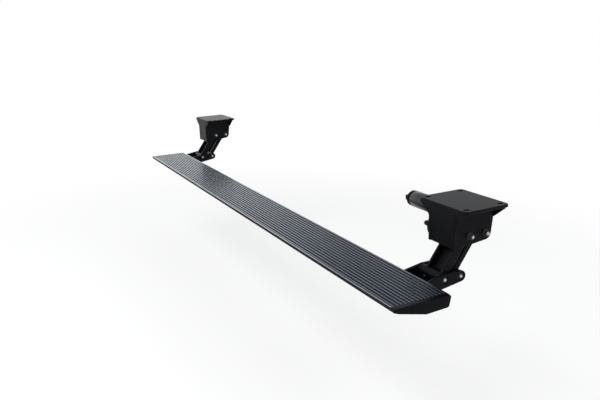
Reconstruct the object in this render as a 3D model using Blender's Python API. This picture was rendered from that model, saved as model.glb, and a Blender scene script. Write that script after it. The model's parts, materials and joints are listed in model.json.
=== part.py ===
# Power running board: a ribbed aluminium step carried by two four-bar linkages.
# The front linkage is driven by a gear motor. The board is modelled in its lowered, rest position.
# Metres, +Z up, +X along the board, +Y towards the vehicle.
# The frame's origin is the centre of the front mounting bracket's top face.
import math

import bmesh
import bpy
from mathutils import Matrix, Vector

# Board extrusion
BOARD_LENGTH = 2.012
BOARD_WIDTH = 0.152
BOARD_DEPTH = 0.031
NOSE_HEIGHT = 0.0085
NOSE_ROUND = 0.0022
CHIN_WIDTH = 0.012
CHIN_DROP = 0.0047
KEEL_WIDTH = 0.068
KEEL_ROUND = 0.007
SKIN = 0.0026
DECK = 0.0030
WEB = 0.0025
RIB_COUNT = 15
RIB_HEIGHT = 0.0019
RIB_FOOT = 0.0068
RIB_CROWN = 0.0034
EDGE_GROOVE_INSET = 0.0038
EDGE_GROOVE_WIDTH = 0.0020
EDGE_GROOVE_DEPTH = 0.0007

# T-slot under the board and its bolts
SLOT_INSET = 0.034
SLOT_MOUTH = 0.0090
SLOT_ROOM_WIDTH = 0.0180
SLOT_ROOM_HEIGHT = 0.0075
SLOT_LIP = 0.0032
T_BOLT_RADIUS = 0.0040
T_BOLT_HEAD = 0.0160
T_BOLT_HEAD_HEIGHT = 0.0052
T_BOLT_SPREAD = 0.056

# End caps
CAP_THICKNESS = 0.016
CAP_RIM = 0.0034
CAP_RIM_INSET = 0.0020
CAP_LEAN = 0.0055
CAP_LIFT = 0.0030
CAP_PLUG = 0.018
CAP_PLUG_WALL = 0.0018

# Four-bar linkage, seen from the end of the board
FRONT_LINKAGE_SETBACK = 0.144
REAR_LINKAGE_SETBACK = 0.076
LOWER_PIVOT_REACH = 0.056
LOWER_PIVOT_DROP = 0.010
PIVOT_SPACING = 0.048
ARM_LENGTH = 0.120
REST_SWING = math.radians(36.0)

# Pivot bolts and sleeves
BOLT_RADIUS = 0.0060
BOLT_THREAD_RADIUS = 0.0040
BOLT_HEAD_RADIUS = 0.0085
BOLT_HEAD_HEIGHT = 0.0050
BOLT_THREAD_PROUD = 0.0030
NUT_ACROSS_FLATS = 0.0130
NUT_FLANGE_RADIUS = 0.0090
NUT_FLANGE = 0.0020
NUT_HEIGHT = 0.0070
LOW_NUT_FLANGE = 0.0010
LOW_NUT_HEIGHT = 0.0030
LOW_NUT_SINK = 0.0045
LOW_NUT_ROOM = 0.0006
LOW_THREAD_PROUD = 0.0008
SLEEVE_WALL = 0.0017

# Arms
ARM_HALF_WIDTH = 0.0400
MAIN_BARREL_RADIUS = 0.0140
MAIN_RIB_WIDTH = 0.0070
MAIN_RIB_DEPTH = 0.0220
MAIN_WEB = 0.0060
SCOOP_ROUND = 0.0060
MAIN_WEB_LEFT = 0.0205
PAD_WIDTH = 0.0400
PAD_HEIGHT = 0.0160
PAD_PROUD = 0.0010
PAD_UP_ARM = 0.0260
IDLER_BARREL_RADIUS = 0.0130
IDLER_RIB_WIDTH = 0.0060
IDLER_RIB_DEPTH = 0.0156
IDLER_WEB = 0.0060
IDLER_HALF_WIDTH = 0.0220

# Step bracket, the clevis casting under the board
CLEVIS_GAP = 0.0010
CHEEK = 0.0080
CHEEK_NOSE_RADIUS = 0.0140
HEEL_GAP = 0.0010
HEEL_DROP = 0.0050
BASE_THICKNESS = 0.0087
BASE_LENGTH = 0.0660
FLOOR = 0.0050
FLOOR_REACH = 0.0760

# Mounting bracket on the vehicle
MOUNT_DROP = 0.0750
MOUNT_PLATE = 0.0080
MOUNT_WING = 0.0390
MOUNT_FRONT = 0.0480
MOUNT_BACK = 0.0380
MOUNT_NOSE_RADIUS = 0.0180
MOUNT_CORNER = 0.0120
MOUNT_WALL = 0.0060
MOUNT_WALL_DROP = 0.0270
GUSSET = 0.0050
GUSSET_INSET = 0.0006
GUSSET_HEIGHT = 0.0300
MOUNT_SLOT_RADIUS = 0.0045
MOUNT_SLOT_TRAVEL = 0.0070
MOUNT_SLOT_EDGE = 0.0160

# Bump stop
STOP_LEFT = 0.0230
STOP_RIGHT = 0.0370
STOP_UPPER = 0.0160
STOP_LOWER = 0.0360

# Drive
GEAR_MODULE = 0.0020
SECTOR_TEETH_FULL = 30
PINION_TEETH = 10
PRESSURE_ANGLE = math.radians(25.0)
TOOTH_ADDENDUM = 0.80
TOOTH_DEDENDUM = 1.05
BACKLASH = 0.00035
PINION_DIRECTION = math.radians(75.0)
SWING_RANGE = math.radians(90.0)
SECTOR_MARGIN = math.radians(24.0)
GEAR_WIDTH = 0.0110
GEAR_SIDE_GAP = 0.0020
SHAFT_RADIUS = 0.0090
SHAFT_FAR_RADIUS = 0.0072
SHAFT_HEX = 0.0150
SHAFT_END_RADIUS = 0.0060
PINION_SHAFT_RADIUS = 0.0045
CASE_WALL = 0.0035
CASE_FLOOR = 0.0040
CASE_ROOM = 0.0024
CASE_OPEN_BELOW = 0.0190
CASE_END_RADIUS = 0.0260
CASE_LUG_RADIUS = 0.0065
CASE_LUG_SET_BACK = 0.0020
SCREW_RADIUS = 0.0025
SCREW_HEAD_RADIUS = 0.0045
SCREW_HEAD = 0.0040
SCREW_BITE = 0.0060
GEARBOX_SCREW_RING = 0.0212
GEARBOX_NECK_RADIUS = 0.0160
GEARBOX_NECK = 0.0120
GEARBOX_RADIUS = 0.0225
GEARBOX_LENGTH = 0.0420
GEARBOX_FLANGE = 0.0050
MOTOR_RADIUS = 0.0215
MOTOR_LENGTH = 0.0720
MOTOR_CAP_LENGTH = 0.0120
SOCKET_WIDTH = 0.0220
SOCKET_HEIGHT = 0.0130
SOCKET_LENGTH = 0.0160
SOCKET_WALL = 0.0020

# Clearances
TOUCH = 0.0003
RUN = 0.0003

# Facets of round pieces
FINE = 24
ROUND = 16
SMALL = 10
SLEEVE = 12


# Places that follow from the sizes
LINKAGE_X = {"front": BOARD_LENGTH / 2 - FRONT_LINKAGE_SETBACK,
             "rear": REAR_LINKAGE_SETBACK - BOARD_LENGTH / 2}
ARM_SIDE = ARM_HALF_WIDTH + CLEVIS_GAP
CHEEK_SIDE = ARM_SIDE + CHEEK
LOWER_MAIN = Vector((0.0, BOARD_WIDTH + LOWER_PIVOT_REACH, -LOWER_PIVOT_DROP))
ACROSS = Vector((0.0, PIVOT_SPACING, 0.0))
LOWER_IDLER = LOWER_MAIN + ACROSS
UP_THE_ARM = Vector((0.0, math.sin(REST_SWING), math.cos(REST_SWING)))
UPPER_MAIN = LOWER_MAIN + ARM_LENGTH * UP_THE_ARM
UPPER_IDLER = UPPER_MAIN + ACROSS
MOUNT_TOP = UPPER_MAIN.z + MOUNT_DROP
MOUNT_Y0 = UPPER_MAIN.y - MOUNT_FRONT
MOUNT_Y1 = UPPER_IDLER.y + MOUNT_BACK
MOUNT_MIDDLE = (MOUNT_Y0 + MOUNT_Y1) / 2
MOUNT_SIDE = CHEEK_SIDE + MOUNT_WING
GEAR_CENTRES = GEAR_MODULE * (SECTOR_TEETH_FULL + PINION_TEETH) / 2
PINION_AXIS = UPPER_MAIN + GEAR_CENTRES * Vector((0.0, math.cos(PINION_DIRECTION),
                                                  math.sin(PINION_DIRECTION)))
SECTOR_TIP = GEAR_MODULE * (SECTOR_TEETH_FULL / 2 + TOOTH_ADDENDUM)
PINION_TIP = GEAR_MODULE * (PINION_TEETH / 2 + TOOTH_ADDENDUM)
GEAR_X1 = -CHEEK_SIDE - GEAR_SIDE_GAP
GEAR_X0 = GEAR_X1 - GEAR_WIDTH
CASE_X1 = -CHEEK_SIDE - TOUCH
CASE_X0 = GEAR_X0 - GEAR_SIDE_GAP - CASE_FLOOR
SLEEVE_BORE = BOLT_RADIUS + RUN
SLEEVE_RADIUS = SLEEVE_BORE + SLEEVE_WALL
SLOT_Y = BOARD_WIDTH - SLOT_INSET
EXTRUSION_HALF = BOARD_LENGTH / 2 - CAP_THICKNESS - TOUCH
ORIGIN = Vector((LINKAGE_X["front"], MOUNT_MIDDLE, MOUNT_TOP))


# Scene and materials
def clear_scene():
    for obj in list(bpy.data.objects):
        bpy.data.objects.remove(obj, do_unlink=True)


def material(name, colour, roughness, metallic):
    mat = bpy.data.materials.new(name)
    mat.use_nodes = True
    shader = mat.node_tree.nodes["Principled BSDF"]
    shader.inputs["Base Color"].default_value = (*colour, 1.0)
    shader.inputs["Roughness"].default_value = roughness
    shader.inputs["Metallic"].default_value = metallic
    mat.diffuse_color = (*colour, 1.0)
    return mat


def empty(name, place, parent=None, turn=(0.0, 0.0, 0.0), drawn_in_frame=False):
    """A joint axis or a frame. Pieces under it are drawn in its own frame, or in the board's."""
    axis = bpy.data.objects.new(name, None)
    axis.empty_display_size = 0.03
    axis.location = Vector(place) - drawn_about(parent)
    axis.rotation_euler = turn
    axis.parent = parent
    axis["drawn_about"] = tuple(place) if drawn_in_frame else (0.0, 0.0, 0.0)
    bpy.context.scene.collection.objects.link(axis)
    return axis


def drawn_about(axis):
    """Where an axis lies in the frame that its pieces are drawn in."""
    return Vector(axis["drawn_about"]) if axis else Vector((0.0, 0.0, 0.0))


# Outlines, as lists of (y, z) running anticlockwise
def arc(y, z, radius, start, end, steps):
    """Points on an arc, start and end in degrees."""
    points = []
    for i in range(steps + 1):
        angle = math.radians(start + (end - start) * i / steps)
        points.append((y + radius * math.cos(angle), z + radius * math.sin(angle)))
    return points


def circle(y, z, radius, steps):
    return arc(y, z, radius, 0.0, 360.0, steps)[:-1]


def hull(points):
    """Convex outline round a set of points."""
    ordered = sorted(set((round(y, 7), round(z, 7)) for y, z in points))

    def half(sequence):
        chain = []
        for p in sequence:
            while len(chain) > 1:
                a, b = chain[-2], chain[-1]
                if (b[0] - a[0]) * (p[1] - a[1]) - (b[1] - a[1]) * (p[0] - a[0]) > 1e-12:
                    break
                chain.pop()
            chain.append(p)
        return chain[:-1]

    return half(ordered) + half(reversed(ordered))


# Solids
def finish(bm, name, mat, parent):
    """Turns a bmesh into a named object under its joint axis."""
    bmesh.ops.recalc_face_normals(bm, faces=bm.faces[:])
    bm.transform(Matrix.Translation(-drawn_about(parent)))
    mesh = bpy.data.meshes.new(name)
    bm.to_mesh(mesh)
    bm.free()
    if mat:
        mesh.materials.append(mat)
    obj = bpy.data.objects.new(name, mesh)
    obj.parent = parent
    bpy.context.scene.collection.objects.link(obj)
    return obj


def add_prism(bm, outline, x0, x1, rim=0.0, segments=1, far_end_only=False):
    """Extrudes a (y, z) outline from x0 to x1 and rounds the edges of its ends."""
    verts = [bm.verts.new((x0, y, z)) for y, z in outline]
    start = bm.faces.new(verts)
    made = bmesh.ops.extrude_face_region(bm, geom=[start])
    moved = [g for g in made["geom"] if isinstance(g, bmesh.types.BMVert)]
    bmesh.ops.translate(bm, verts=moved, vec=(x1 - x0, 0.0, 0.0))
    end = [g for g in made["geom"] if isinstance(g, bmesh.types.BMFace)][0]
    if rim > 0.0:
        edges = list(end.edges) if far_end_only else list(set(start.edges) | set(end.edges))
        bmesh.ops.bevel(bm, geom=edges, offset=rim, segments=segments, profile=0.5,
                        affect="EDGES", clamp_overlap=True)


def prism(name, outline, x0, x1, mat, parent, rim=0.0, segments=1, far_end_only=False):
    bm = bmesh.new()
    add_prism(bm, outline, x0, x1, rim, segments, far_end_only)
    return finish(bm, name, mat, parent)


def hollow_prism(name, outline, holes, x0, x1, mat, parent):
    """Extrudes an outline with through holes, as a die does."""
    bm = bmesh.new()
    edges = []
    for loop in [outline] + holes:
        verts = [bm.verts.new((x0, y, z)) for y, z in loop]
        for i, vert in enumerate(verts):
            edges.append(bm.edges.new((vert, verts[(i + 1) % len(verts)])))
    bmesh.ops.triangle_fill(bm, use_beauty=True, edges=edges)
    made = bmesh.ops.extrude_face_region(bm, geom=bm.faces[:])
    moved = [g for g in made["geom"] if isinstance(g, bmesh.types.BMVert)]
    bmesh.ops.translate(bm, verts=moved, vec=(x1 - x0, 0.0, 0.0))
    return finish(bm, name, mat, parent)


def add_turned(bm, profile, y, z, steps):
    """Revolves an (x, radius) profile round an axis along X through (y, z)."""
    rings = []
    for x, radius in profile:
        if radius <= 0.0:
            rings.append([bm.verts.new((x, y, z))])
        else:
            rings.append([bm.verts.new((x, py, pz)) for py, pz in circle(y, z, radius, steps)])
    closed = profile[0][1] > 0.0
    pairs = list(zip(rings, rings[1:]))
    if closed:
        pairs.append((rings[-1], rings[0]))
    for a, b in pairs:
        for i in range(steps):
            j = (i + 1) % steps
            corners = [a[i % len(a)], a[j % len(a)], b[j % len(b)], b[i % len(b)]]
            unique = []
            for corner in corners:
                if corner not in unique:
                    unique.append(corner)
            if len(unique) > 2:
                bm.faces.new(unique)


def turned(name, profile, centre, mat, parent, steps=ROUND):
    bm = bmesh.new()
    add_turned(bm, profile, centre[0], centre[1], steps)
    return finish(bm, name, mat, parent)


def block(name, low, high, mat, parent, rim=0.0):
    bm = bmesh.new()
    outline = [(low[1], low[2]), (high[1], low[2]), (high[1], high[2]), (low[1], high[2])]
    add_prism(bm, outline, low[0], high[0], rim)
    return finish(bm, name, mat, parent)


def combine(target, tool, operation):
    """Joins or cuts with another solid, which stays in the file as a hidden guide."""
    tool.hide_render = True
    tool.display_type = "WIRE"
    step = target.modifiers.new(tool.name, "BOOLEAN")
    step.operation = operation
    step.solver = "EXACT"
    step.object = tool


def settle():
    """Makes each cut and joined solid a plain mesh, and shades it with its sharp edges kept."""
    view = bpy.context.evaluated_depsgraph_get()
    solids = [obj for obj in bpy.data.objects if obj.type == "MESH" and not obj.hide_render]
    done = [(obj, bpy.data.meshes.new_from_object(obj.evaluated_get(view))) for obj in solids
            if obj.modifiers]
    for obj, mesh in done:
        obj.modifiers.clear()
        mesh.name = obj.name
        obj.data = mesh
    for obj in solids:
        obj.data.shade_smooth()
        obj.data.set_sharp_from_angle(angle=math.radians(32.0))
    for obj in [obj for obj in bpy.data.objects if obj.hide_render]:
        bpy.data.objects.remove(obj, do_unlink=True)


def join(target, *tools):
    for tool in tools:
        combine(target, tool, "UNION")


def cut(target, *tools):
    for tool in tools:
        combine(target, tool, "DIFFERENCE")


def rod(name, centre, radius, x0, x1, parent, steps=ROUND):
    return prism(name, circle(centre[0], centre[1], radius, steps), x0, x1, None, parent)


def slab(name, outline, z0, z1, mat, parent, rim=0.0):
    """Extrudes an (x, y) outline upwards from z0 to z1 and rounds the edges of both faces."""
    bm = bmesh.new()
    start = bm.faces.new([bm.verts.new((x, y, z0)) for x, y in outline])
    made = bmesh.ops.extrude_face_region(bm, geom=[start])
    moved = [g for g in made["geom"] if isinstance(g, bmesh.types.BMVert)]
    bmesh.ops.translate(bm, verts=moved, vec=(0.0, 0.0, z1 - z0))
    end = [g for g in made["geom"] if isinstance(g, bmesh.types.BMFace)][0]
    if rim > 0.0:
        bmesh.ops.bevel(bm, geom=list(set(start.edges) | set(end.edges)), offset=rim, segments=1,
                        profile=0.5, affect="EDGES")
    return finish(bm, name, mat, parent)


def upright_slot(name, x, y, z0, z1, radius, travel, parent):
    """A round or slotted solid along Z, long along Y."""
    outline = hull(circle(x, y - travel / 2, radius, SMALL) + circle(x, y + travel / 2, radius, SMALL))
    return slab(name, outline, z0, z1, None, parent)


# Board
def underside(y):
    """Height of the outer skin's underside at y, from the chin to the keel."""
    keel = BOARD_WIDTH - KEEL_WIDTH
    low = -NOSE_HEIGHT - CHIN_DROP
    if y >= keel:
        return -BOARD_DEPTH
    return low - (y - CHIN_WIDTH) / (keel - CHIN_WIDTH) * (BOARD_DEPTH + low)


def lower_outline():
    """Nose, chin, sloping underside and keel, from the top of the nose to the inner wall."""
    points = arc(NOSE_ROUND, -NOSE_ROUND, NOSE_ROUND, 90.0, 180.0, 3)
    points.append((0.0, -NOSE_HEIGHT))
    points.append((CHIN_WIDTH, underside(CHIN_WIDTH)))
    points.append((BOARD_WIDTH - KEEL_WIDTH, -BOARD_DEPTH))
    return points


def inner_outline():
    """Keel corner and inner wall, up to the tread."""
    points = arc(BOARD_WIDTH - KEEL_ROUND, -BOARD_DEPTH + KEEL_ROUND, KEEL_ROUND, -90.0, 0.0, 4)
    points += arc(BOARD_WIDTH - NOSE_ROUND, -NOSE_ROUND, NOSE_ROUND, 0.0, 90.0, 3)
    return points


def t_slot_outline():
    half_mouth = SLOT_MOUTH / 2
    half_room = SLOT_ROOM_WIDTH / 2
    floor = -BOARD_DEPTH + SLOT_LIP
    top = floor + SLOT_ROOM_HEIGHT
    return [(SLOT_Y - half_mouth, -BOARD_DEPTH), (SLOT_Y - half_mouth, floor),
            (SLOT_Y - half_room, floor), (SLOT_Y - half_room, top),
            (SLOT_Y + half_room, top), (SLOT_Y + half_room, floor),
            (SLOT_Y + half_mouth, floor), (SLOT_Y + half_mouth, -BOARD_DEPTH)]


def tread_outline():
    """Ribs and grooves, from the inner edge to the outer edge. The end ribs run into the edges.
    A fine groove parts the outer rib from the nose."""
    pitch = BOARD_WIDTH / RIB_COUNT
    points = []
    for i in reversed(range(RIB_COUNT)):
        centre = (i + 0.5) * pitch
        if i < RIB_COUNT - 1:
            points.append((centre + RIB_FOOT / 2, -RIB_HEIGHT))
            points.append((centre + (RIB_FOOT + RIB_CROWN) / 4, -RIB_HEIGHT * 0.25))
            points.append((centre + RIB_CROWN / 2, 0.0))
        if i > 0:
            points.append((centre - RIB_CROWN / 2, 0.0))
            points.append((centre - (RIB_FOOT + RIB_CROWN) / 4, -RIB_HEIGHT * 0.25))
            points.append((centre - RIB_FOOT / 2, -RIB_HEIGHT))
    half = EDGE_GROOVE_WIDTH / 2
    return points + [(EDGE_GROOVE_INSET + half, 0.0), (EDGE_GROOVE_INSET, -EDGE_GROOVE_DEPTH),
                     (EDGE_GROOVE_INSET - half, 0.0)]


def chambers():
    """The hollows of the extrusion: two in the wedge, one over the T-slot, one behind it."""
    ceiling = -RIB_HEIGHT - DECK
    slot_left = SLOT_Y - SLOT_ROOM_WIDTH / 2 - WEB
    slot_right = SLOT_Y + SLOT_ROOM_WIDTH / 2 + WEB
    slot_top = -BOARD_DEPTH + SLOT_LIP + SLOT_ROOM_HEIGHT + WEB
    keel = BOARD_WIDTH - KEEL_WIDTH
    first = CHIN_WIDTH + SKIN
    middle = (first + slot_left) / 2
    wall = BOARD_WIDTH - SKIN
    rise = SKIN * 1.05
    wedge = [(first, underside(first) + rise), (middle - WEB / 2, underside(middle) + rise),
             (middle - WEB / 2, ceiling), (first, ceiling)]
    deep = [(middle + WEB / 2, underside(middle + WEB / 2) + rise), (keel, -BOARD_DEPTH + SKIN),
            (slot_left, -BOARD_DEPTH + SKIN), (slot_left, ceiling), (middle + WEB / 2, ceiling)]
    over_slot = [(slot_left + WEB, slot_top), (slot_right - WEB, slot_top),
                 (slot_right - WEB, ceiling), (slot_left + WEB, ceiling)]
    inner = [(slot_right, -BOARD_DEPTH + SKIN), (wall - KEEL_ROUND / 2, -BOARD_DEPTH + SKIN),
             (wall, -BOARD_DEPTH + SKIN + KEEL_ROUND / 2), (wall, ceiling), (slot_right, ceiling)]
    return [wedge, deep, over_slot, inner]


def make_board(axis):
    outline = lower_outline() + t_slot_outline() + inner_outline() + tread_outline()
    hollow_prism("board_extrusion", outline, chambers(), -EXTRUSION_HALF, EXTRUSION_HALF,
                 BLACK_ALUMINIUM, axis)


def shrunk(outline, gap):
    """A chamber's outline drawn in by a gap on every side."""
    count = len(outline)
    points = []
    for i in range(count):
        before = Vector(outline[i - 1])
        here = Vector(outline[i])
        after = Vector(outline[(i + 1) % count])
        into = (here - before).normalized()
        out = (after - here).normalized()
        normal_in = Vector((-into.y, into.x))
        normal_out = Vector((-out.y, out.x))
        bisector = (normal_in + normal_out).normalized()
        reach = gap / max(bisector.dot(normal_out), 0.2)
        points.append(tuple(here + bisector * reach))
    return points


def drafted(outline, share):
    """The cap's outline part way to its face: the inner side leans in and its foot rises."""
    keel = BOARD_WIDTH - KEEL_WIDTH
    points = []
    for y, z in outline:
        along = max(0.0, (y - keel) / KEEL_WIDTH) * min(1.0, -z / BOARD_DEPTH)
        points.append((y - CAP_LEAN * along * share, z + CAP_LIFT * along * share))
    return points


def make_cap(name, side, axis):
    """A moulded cap: a plain face with rounded edges and hollow plugs for the chambers."""
    inner = side * (BOARD_LENGTH / 2 - CAP_THICKNESS)
    outer = side * BOARD_LENGTH / 2
    outline = lower_outline() + inner_outline()
    rings = [(CAP_THICKNESS, 0.0)]
    for step in range(4):
        angle = math.radians(30.0 * step)
        rings.append((CAP_RIM * (1.0 - math.sin(angle)), CAP_RIM_INSET * (1.0 - math.cos(angle))))
    bm = bmesh.new()
    loops = []
    for back, inset in rings:
        ring = drafted(outline, 1.0 - back / CAP_THICKNESS)
        if inset > 0.0:
            ring = shrunk(ring, inset)
        loops.append([bm.verts.new((outer - side * back, y, z)) for y, z in ring])
    count = len(outline)
    for near, far in zip(loops, loops[1:]):
        for i in range(count):
            j = (i + 1) % count
            bm.faces.new((near[i], near[j], far[j], far[i]))
    bm.faces.new(loops[0])
    bm.faces.new(loops[-1])
    plate = finish(bm, name, BLACK_PLASTIC, axis)
    root = inner + side * CAP_THICKNESS / 2
    tip = inner - side * CAP_PLUG
    for i, chamber in enumerate(chambers()):
        fit = shrunk(chamber, TOUCH)
        plug = prism(f"{name}.plug{i}", fit, min(root, tip), max(root, tip), None, axis)
        join(plate, plug)
        bore = shrunk(fit, CAP_PLUG_WALL)
        floor = inner - side * TOUCH
        beyond = tip - side * 0.002
        hole = prism(f"{name}.hollow{i}", bore, min(floor, beyond), max(floor, beyond), None, axis)
        cut(plate, hole)


# Fasteners that lie along X. Their origin is the pivot line.
def make_pivot_bolt(name, x, centre, mat, axis, sunk=False):
    """Shoulder bolt: round head on the -X side, reduced thread on the +X side."""
    head = x - CHEEK_SIDE - TOUCH
    if sunk:
        shoulder = x + CHEEK_SIDE - LOW_NUT_SINK
        tip = shoulder + TOUCH + LOW_NUT_FLANGE + LOW_NUT_HEIGHT + LOW_THREAD_PROUD
    else:
        shoulder = x + CHEEK_SIDE
        tip = shoulder + TOUCH + NUT_FLANGE + NUT_HEIGHT + BOLT_THREAD_PROUD
    chamfer = BOLT_THREAD_RADIUS * 0.25
    profile = [(head - BOLT_HEAD_HEIGHT, 0.0), (head - BOLT_HEAD_HEIGHT, BOLT_HEAD_RADIUS * 0.85),
               (head - BOLT_HEAD_HEIGHT * 0.7, BOLT_HEAD_RADIUS), (head, BOLT_HEAD_RADIUS),
               (head, BOLT_RADIUS), (shoulder, BOLT_RADIUS), (shoulder, BOLT_THREAD_RADIUS),
               (tip - chamfer, BOLT_THREAD_RADIUS), (tip, BOLT_THREAD_RADIUS - chamfer), (tip, 0.0)]
    return turned(name, profile, centre, mat, axis, steps=ROUND)


def make_flange_nut(name, x, centre, bore, mat, axis, brim=NUT_FLANGE, height=NUT_HEIGHT):
    """Hexagon nut with a round flange, seated at x and opening towards +X."""
    flange = prism(name, circle(centre[0], centre[1], NUT_FLANGE_RADIUS, ROUND), x, x + brim, mat,
                   axis)
    hexagon = circle(centre[0], centre[1], NUT_ACROSS_FLATS / math.sqrt(3), 6)
    body = prism(name + ".hexagon", hexagon, x + brim / 2, x + brim + height, None, axis)
    join(flange, body)
    cut(flange, rod(name + ".bore", centre, bore, x - 0.001, x + brim + height + 0.001, axis, SMALL))
    return flange


def make_sleeve(name, x, centre, axis):
    half = ARM_HALF_WIDTH
    profile = [(x - half, SLEEVE_BORE), (x - half, SLEEVE_RADIUS), (x + half, SLEEVE_RADIUS),
               (x + half, SLEEVE_BORE)]
    return turned(name, profile, centre, BRONZE, axis, steps=SLEEVE)


# Arms, modelled hanging straight down from the upper pivot
def make_main_arm(name, axis, driven):
    """Wide arm: two barrels, two side ribs and, off centre, a web with a scooped outer face."""
    half = ARM_HALF_WIDTH
    depth = MAIN_RIB_DEPTH / 2
    foot = -ARM_LENGTH
    top = circle(0.0, 0.0, MAIN_BARREL_RADIUS, FINE)
    low = circle(0.0, foot, MAIN_BARREL_RADIUS, FINE)
    arm = prism(name, top, -half, half, BLACK_CASTING, axis, rim=0.0008)
    join(arm, prism(name + ".low_barrel", low, -half, half, None, axis, rim=0.0008))
    rib = [(-depth, foot), (depth, foot), (depth, 0.0), (-depth, 0.0)]
    left = -MAIN_WEB_LEFT
    right = half - 0.0012
    for side, start in ((-1, left), (1, right - MAIN_RIB_WIDTH)):
        join(arm, prism(f"{name}.rib{side}", rib, start, start + MAIN_RIB_WIDTH, None, axis,
                        rim=0.0010))
    face = depth - MAIN_WEB
    r = SCOOP_ROUND
    scoop = [(depth - 0.0004, foot), (depth - 0.0004, 0.0), (face - r, -0.004)]
    scoop += arc(face - r, -MAIN_BARREL_RADIUS - r, r, 90.0, 0.0, 4)
    scoop += arc(face - r, foot + MAIN_BARREL_RADIUS + r, r, 0.0, -90.0, 4)
    scoop += [(face - r, foot + 0.004)]
    join(arm, prism(name + ".web", scoop, left + 0.001, right - 0.001, None, axis))
    low_pad = foot + PAD_UP_ARM - PAD_HEIGHT / 2
    high_pad = low_pad + PAD_HEIGHT
    middle = (left + right) / 2
    pad = block(name + ".pad", (middle - PAD_WIDTH / 2, face - PAD_PROUD, low_pad),
                (middle + PAD_WIDTH / 2, face + 0.001, high_pad), None, axis)
    join(arm, pad)
    bore = SLEEVE_RADIUS + TOUCH
    reach = half + 0.002
    cut(arm, rod(name + ".low_bore", (0.0, foot), bore, -reach, reach, axis))
    if driven:
        hexagon = circle(0.0, 0.0, SHAFT_HEX / math.sqrt(3) + TOUCH, 6)
        cut(arm, prism(name + ".top_bore", hexagon, -reach, reach, None, axis))
    else:
        cut(arm, rod(name + ".top_bore", (0.0, 0.0), bore, -reach, reach, axis))
    return arm


def make_idler_arm(name, axis):
    """Narrow arm behind the main arm: two full width barrels and an I-section between them."""
    half = ARM_HALF_WIDTH
    foot = -ARM_LENGTH
    arm = prism(name, circle(0.0, 0.0, IDLER_BARREL_RADIUS, FINE), -half, half, BLACK_CASTING, axis,
                rim=0.0008)
    join(arm, prism(name + ".low_barrel", circle(0.0, foot, IDLER_BARREL_RADIUS, FINE), -half, half,
                    None, axis, rim=0.0008))
    depth = IDLER_RIB_DEPTH / 2
    rib = [(-depth, foot), (depth, foot), (depth, 0.0), (-depth, 0.0)]
    for side in (-1, 1):
        outer = side * IDLER_HALF_WIDTH
        inner = side * (IDLER_HALF_WIDTH - IDLER_RIB_WIDTH)
        join(arm, prism(f"{name}.rib{side}", rib, min(outer, inner), max(outer, inner), None, axis,
                        rim=0.0010))
    web = IDLER_WEB / 2
    inside = IDLER_HALF_WIDTH - IDLER_RIB_WIDTH + 0.001
    flat = [(-web, foot), (web, foot), (web, 0.0), (-web, 0.0)]
    join(arm, prism(name + ".web", flat, -inside, inside, None, axis))
    bore = SLEEVE_RADIUS + TOUCH
    reach = half + 0.002
    cut(arm, rod(name + ".low_bore", (0.0, foot), bore, -reach, reach, axis))
    cut(arm, rod(name + ".top_bore", (0.0, 0.0), bore, -reach, reach, axis))
    return arm


# Step bracket
def make_step_bracket(name, x, axis):
    """Clevis casting: a base under the board, two cheeks with both lower pivots, and a floor."""
    top = -BOARD_DEPTH - TOUCH
    bottom = top - BASE_THICKNESS
    near = BOARD_WIDTH - BASE_LENGTH
    main = (LOWER_MAIN.y, LOWER_MAIN.z)
    idler = (LOWER_IDLER.y, LOWER_IDLER.z)
    radius = CHEEK_NOSE_RADIUS
    heel = BOARD_WIDTH + HEEL_GAP
    base_end = (BOARD_WIDTH, bottom)
    touch_angle = -90.0 + math.degrees(math.atan2(idler[1] - radius - bottom, idler[0] - base_end[0]))
    base = [(near, top), (near + 0.003, bottom), base_end]
    cheek = base + arc(idler[0], idler[1], radius, touch_angle, 90.0, 10)
    cheek += [(main[0], main[1] + radius), (heel + 0.003, -HEEL_DROP), (heel, -HEEL_DROP - 0.003),
              (heel, top)]
    start = x - CHEEK_SIDE
    bracket = prism(name, cheek, start, start + CHEEK, BLACK_CASTING, axis, rim=0.0010)
    join(bracket, prism(name + ".far_cheek", cheek, x + ARM_SIDE, x + CHEEK_SIDE, None, axis,
                        rim=0.0010))
    slope = math.tan(math.radians(touch_angle + 90.0))
    end = BOARD_WIDTH + FLOOR_REACH
    low = bottom + slope * (end - BOARD_WIDTH) + 0.0005
    floor = [(near + 0.0005, top), (near + 0.0035, bottom + 0.0004),
             (BOARD_WIDTH, bottom + 0.0005), (end, low), (end, low + FLOOR),
             (BOARD_WIDTH + 0.004, bottom + FLOOR + 0.001), (BOARD_WIDTH - 0.004, top)]
    inside = ARM_SIDE + 0.001
    join(bracket, prism(name + ".floor", floor, x - inside, x + inside, None, axis))
    for tag, centre in (("main", main), ("idler", idler)):
        cut(bracket, rod(f"{name}.{tag}_bore", centre, BOLT_RADIUS + RUN, x - CHEEK_SIDE - 0.002,
                         x + CHEEK_SIDE + 0.002, axis),
            rod(f"{name}.{tag}_recess", centre, NUT_FLANGE_RADIUS + LOW_NUT_ROOM,
                x + CHEEK_SIDE - LOW_NUT_SINK, x + CHEEK_SIDE + 0.002, axis))
    for tag, offset in (("a", -T_BOLT_SPREAD / 2), ("b", T_BOLT_SPREAD / 2)):
        cut(bracket, upright_slot(f"{name}.bolt_hole_{tag}", x + offset, SLOT_Y, bottom - 0.002,
                                  top + 0.002, T_BOLT_RADIUS + TOUCH, 0.0, axis))
    return bracket


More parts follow.
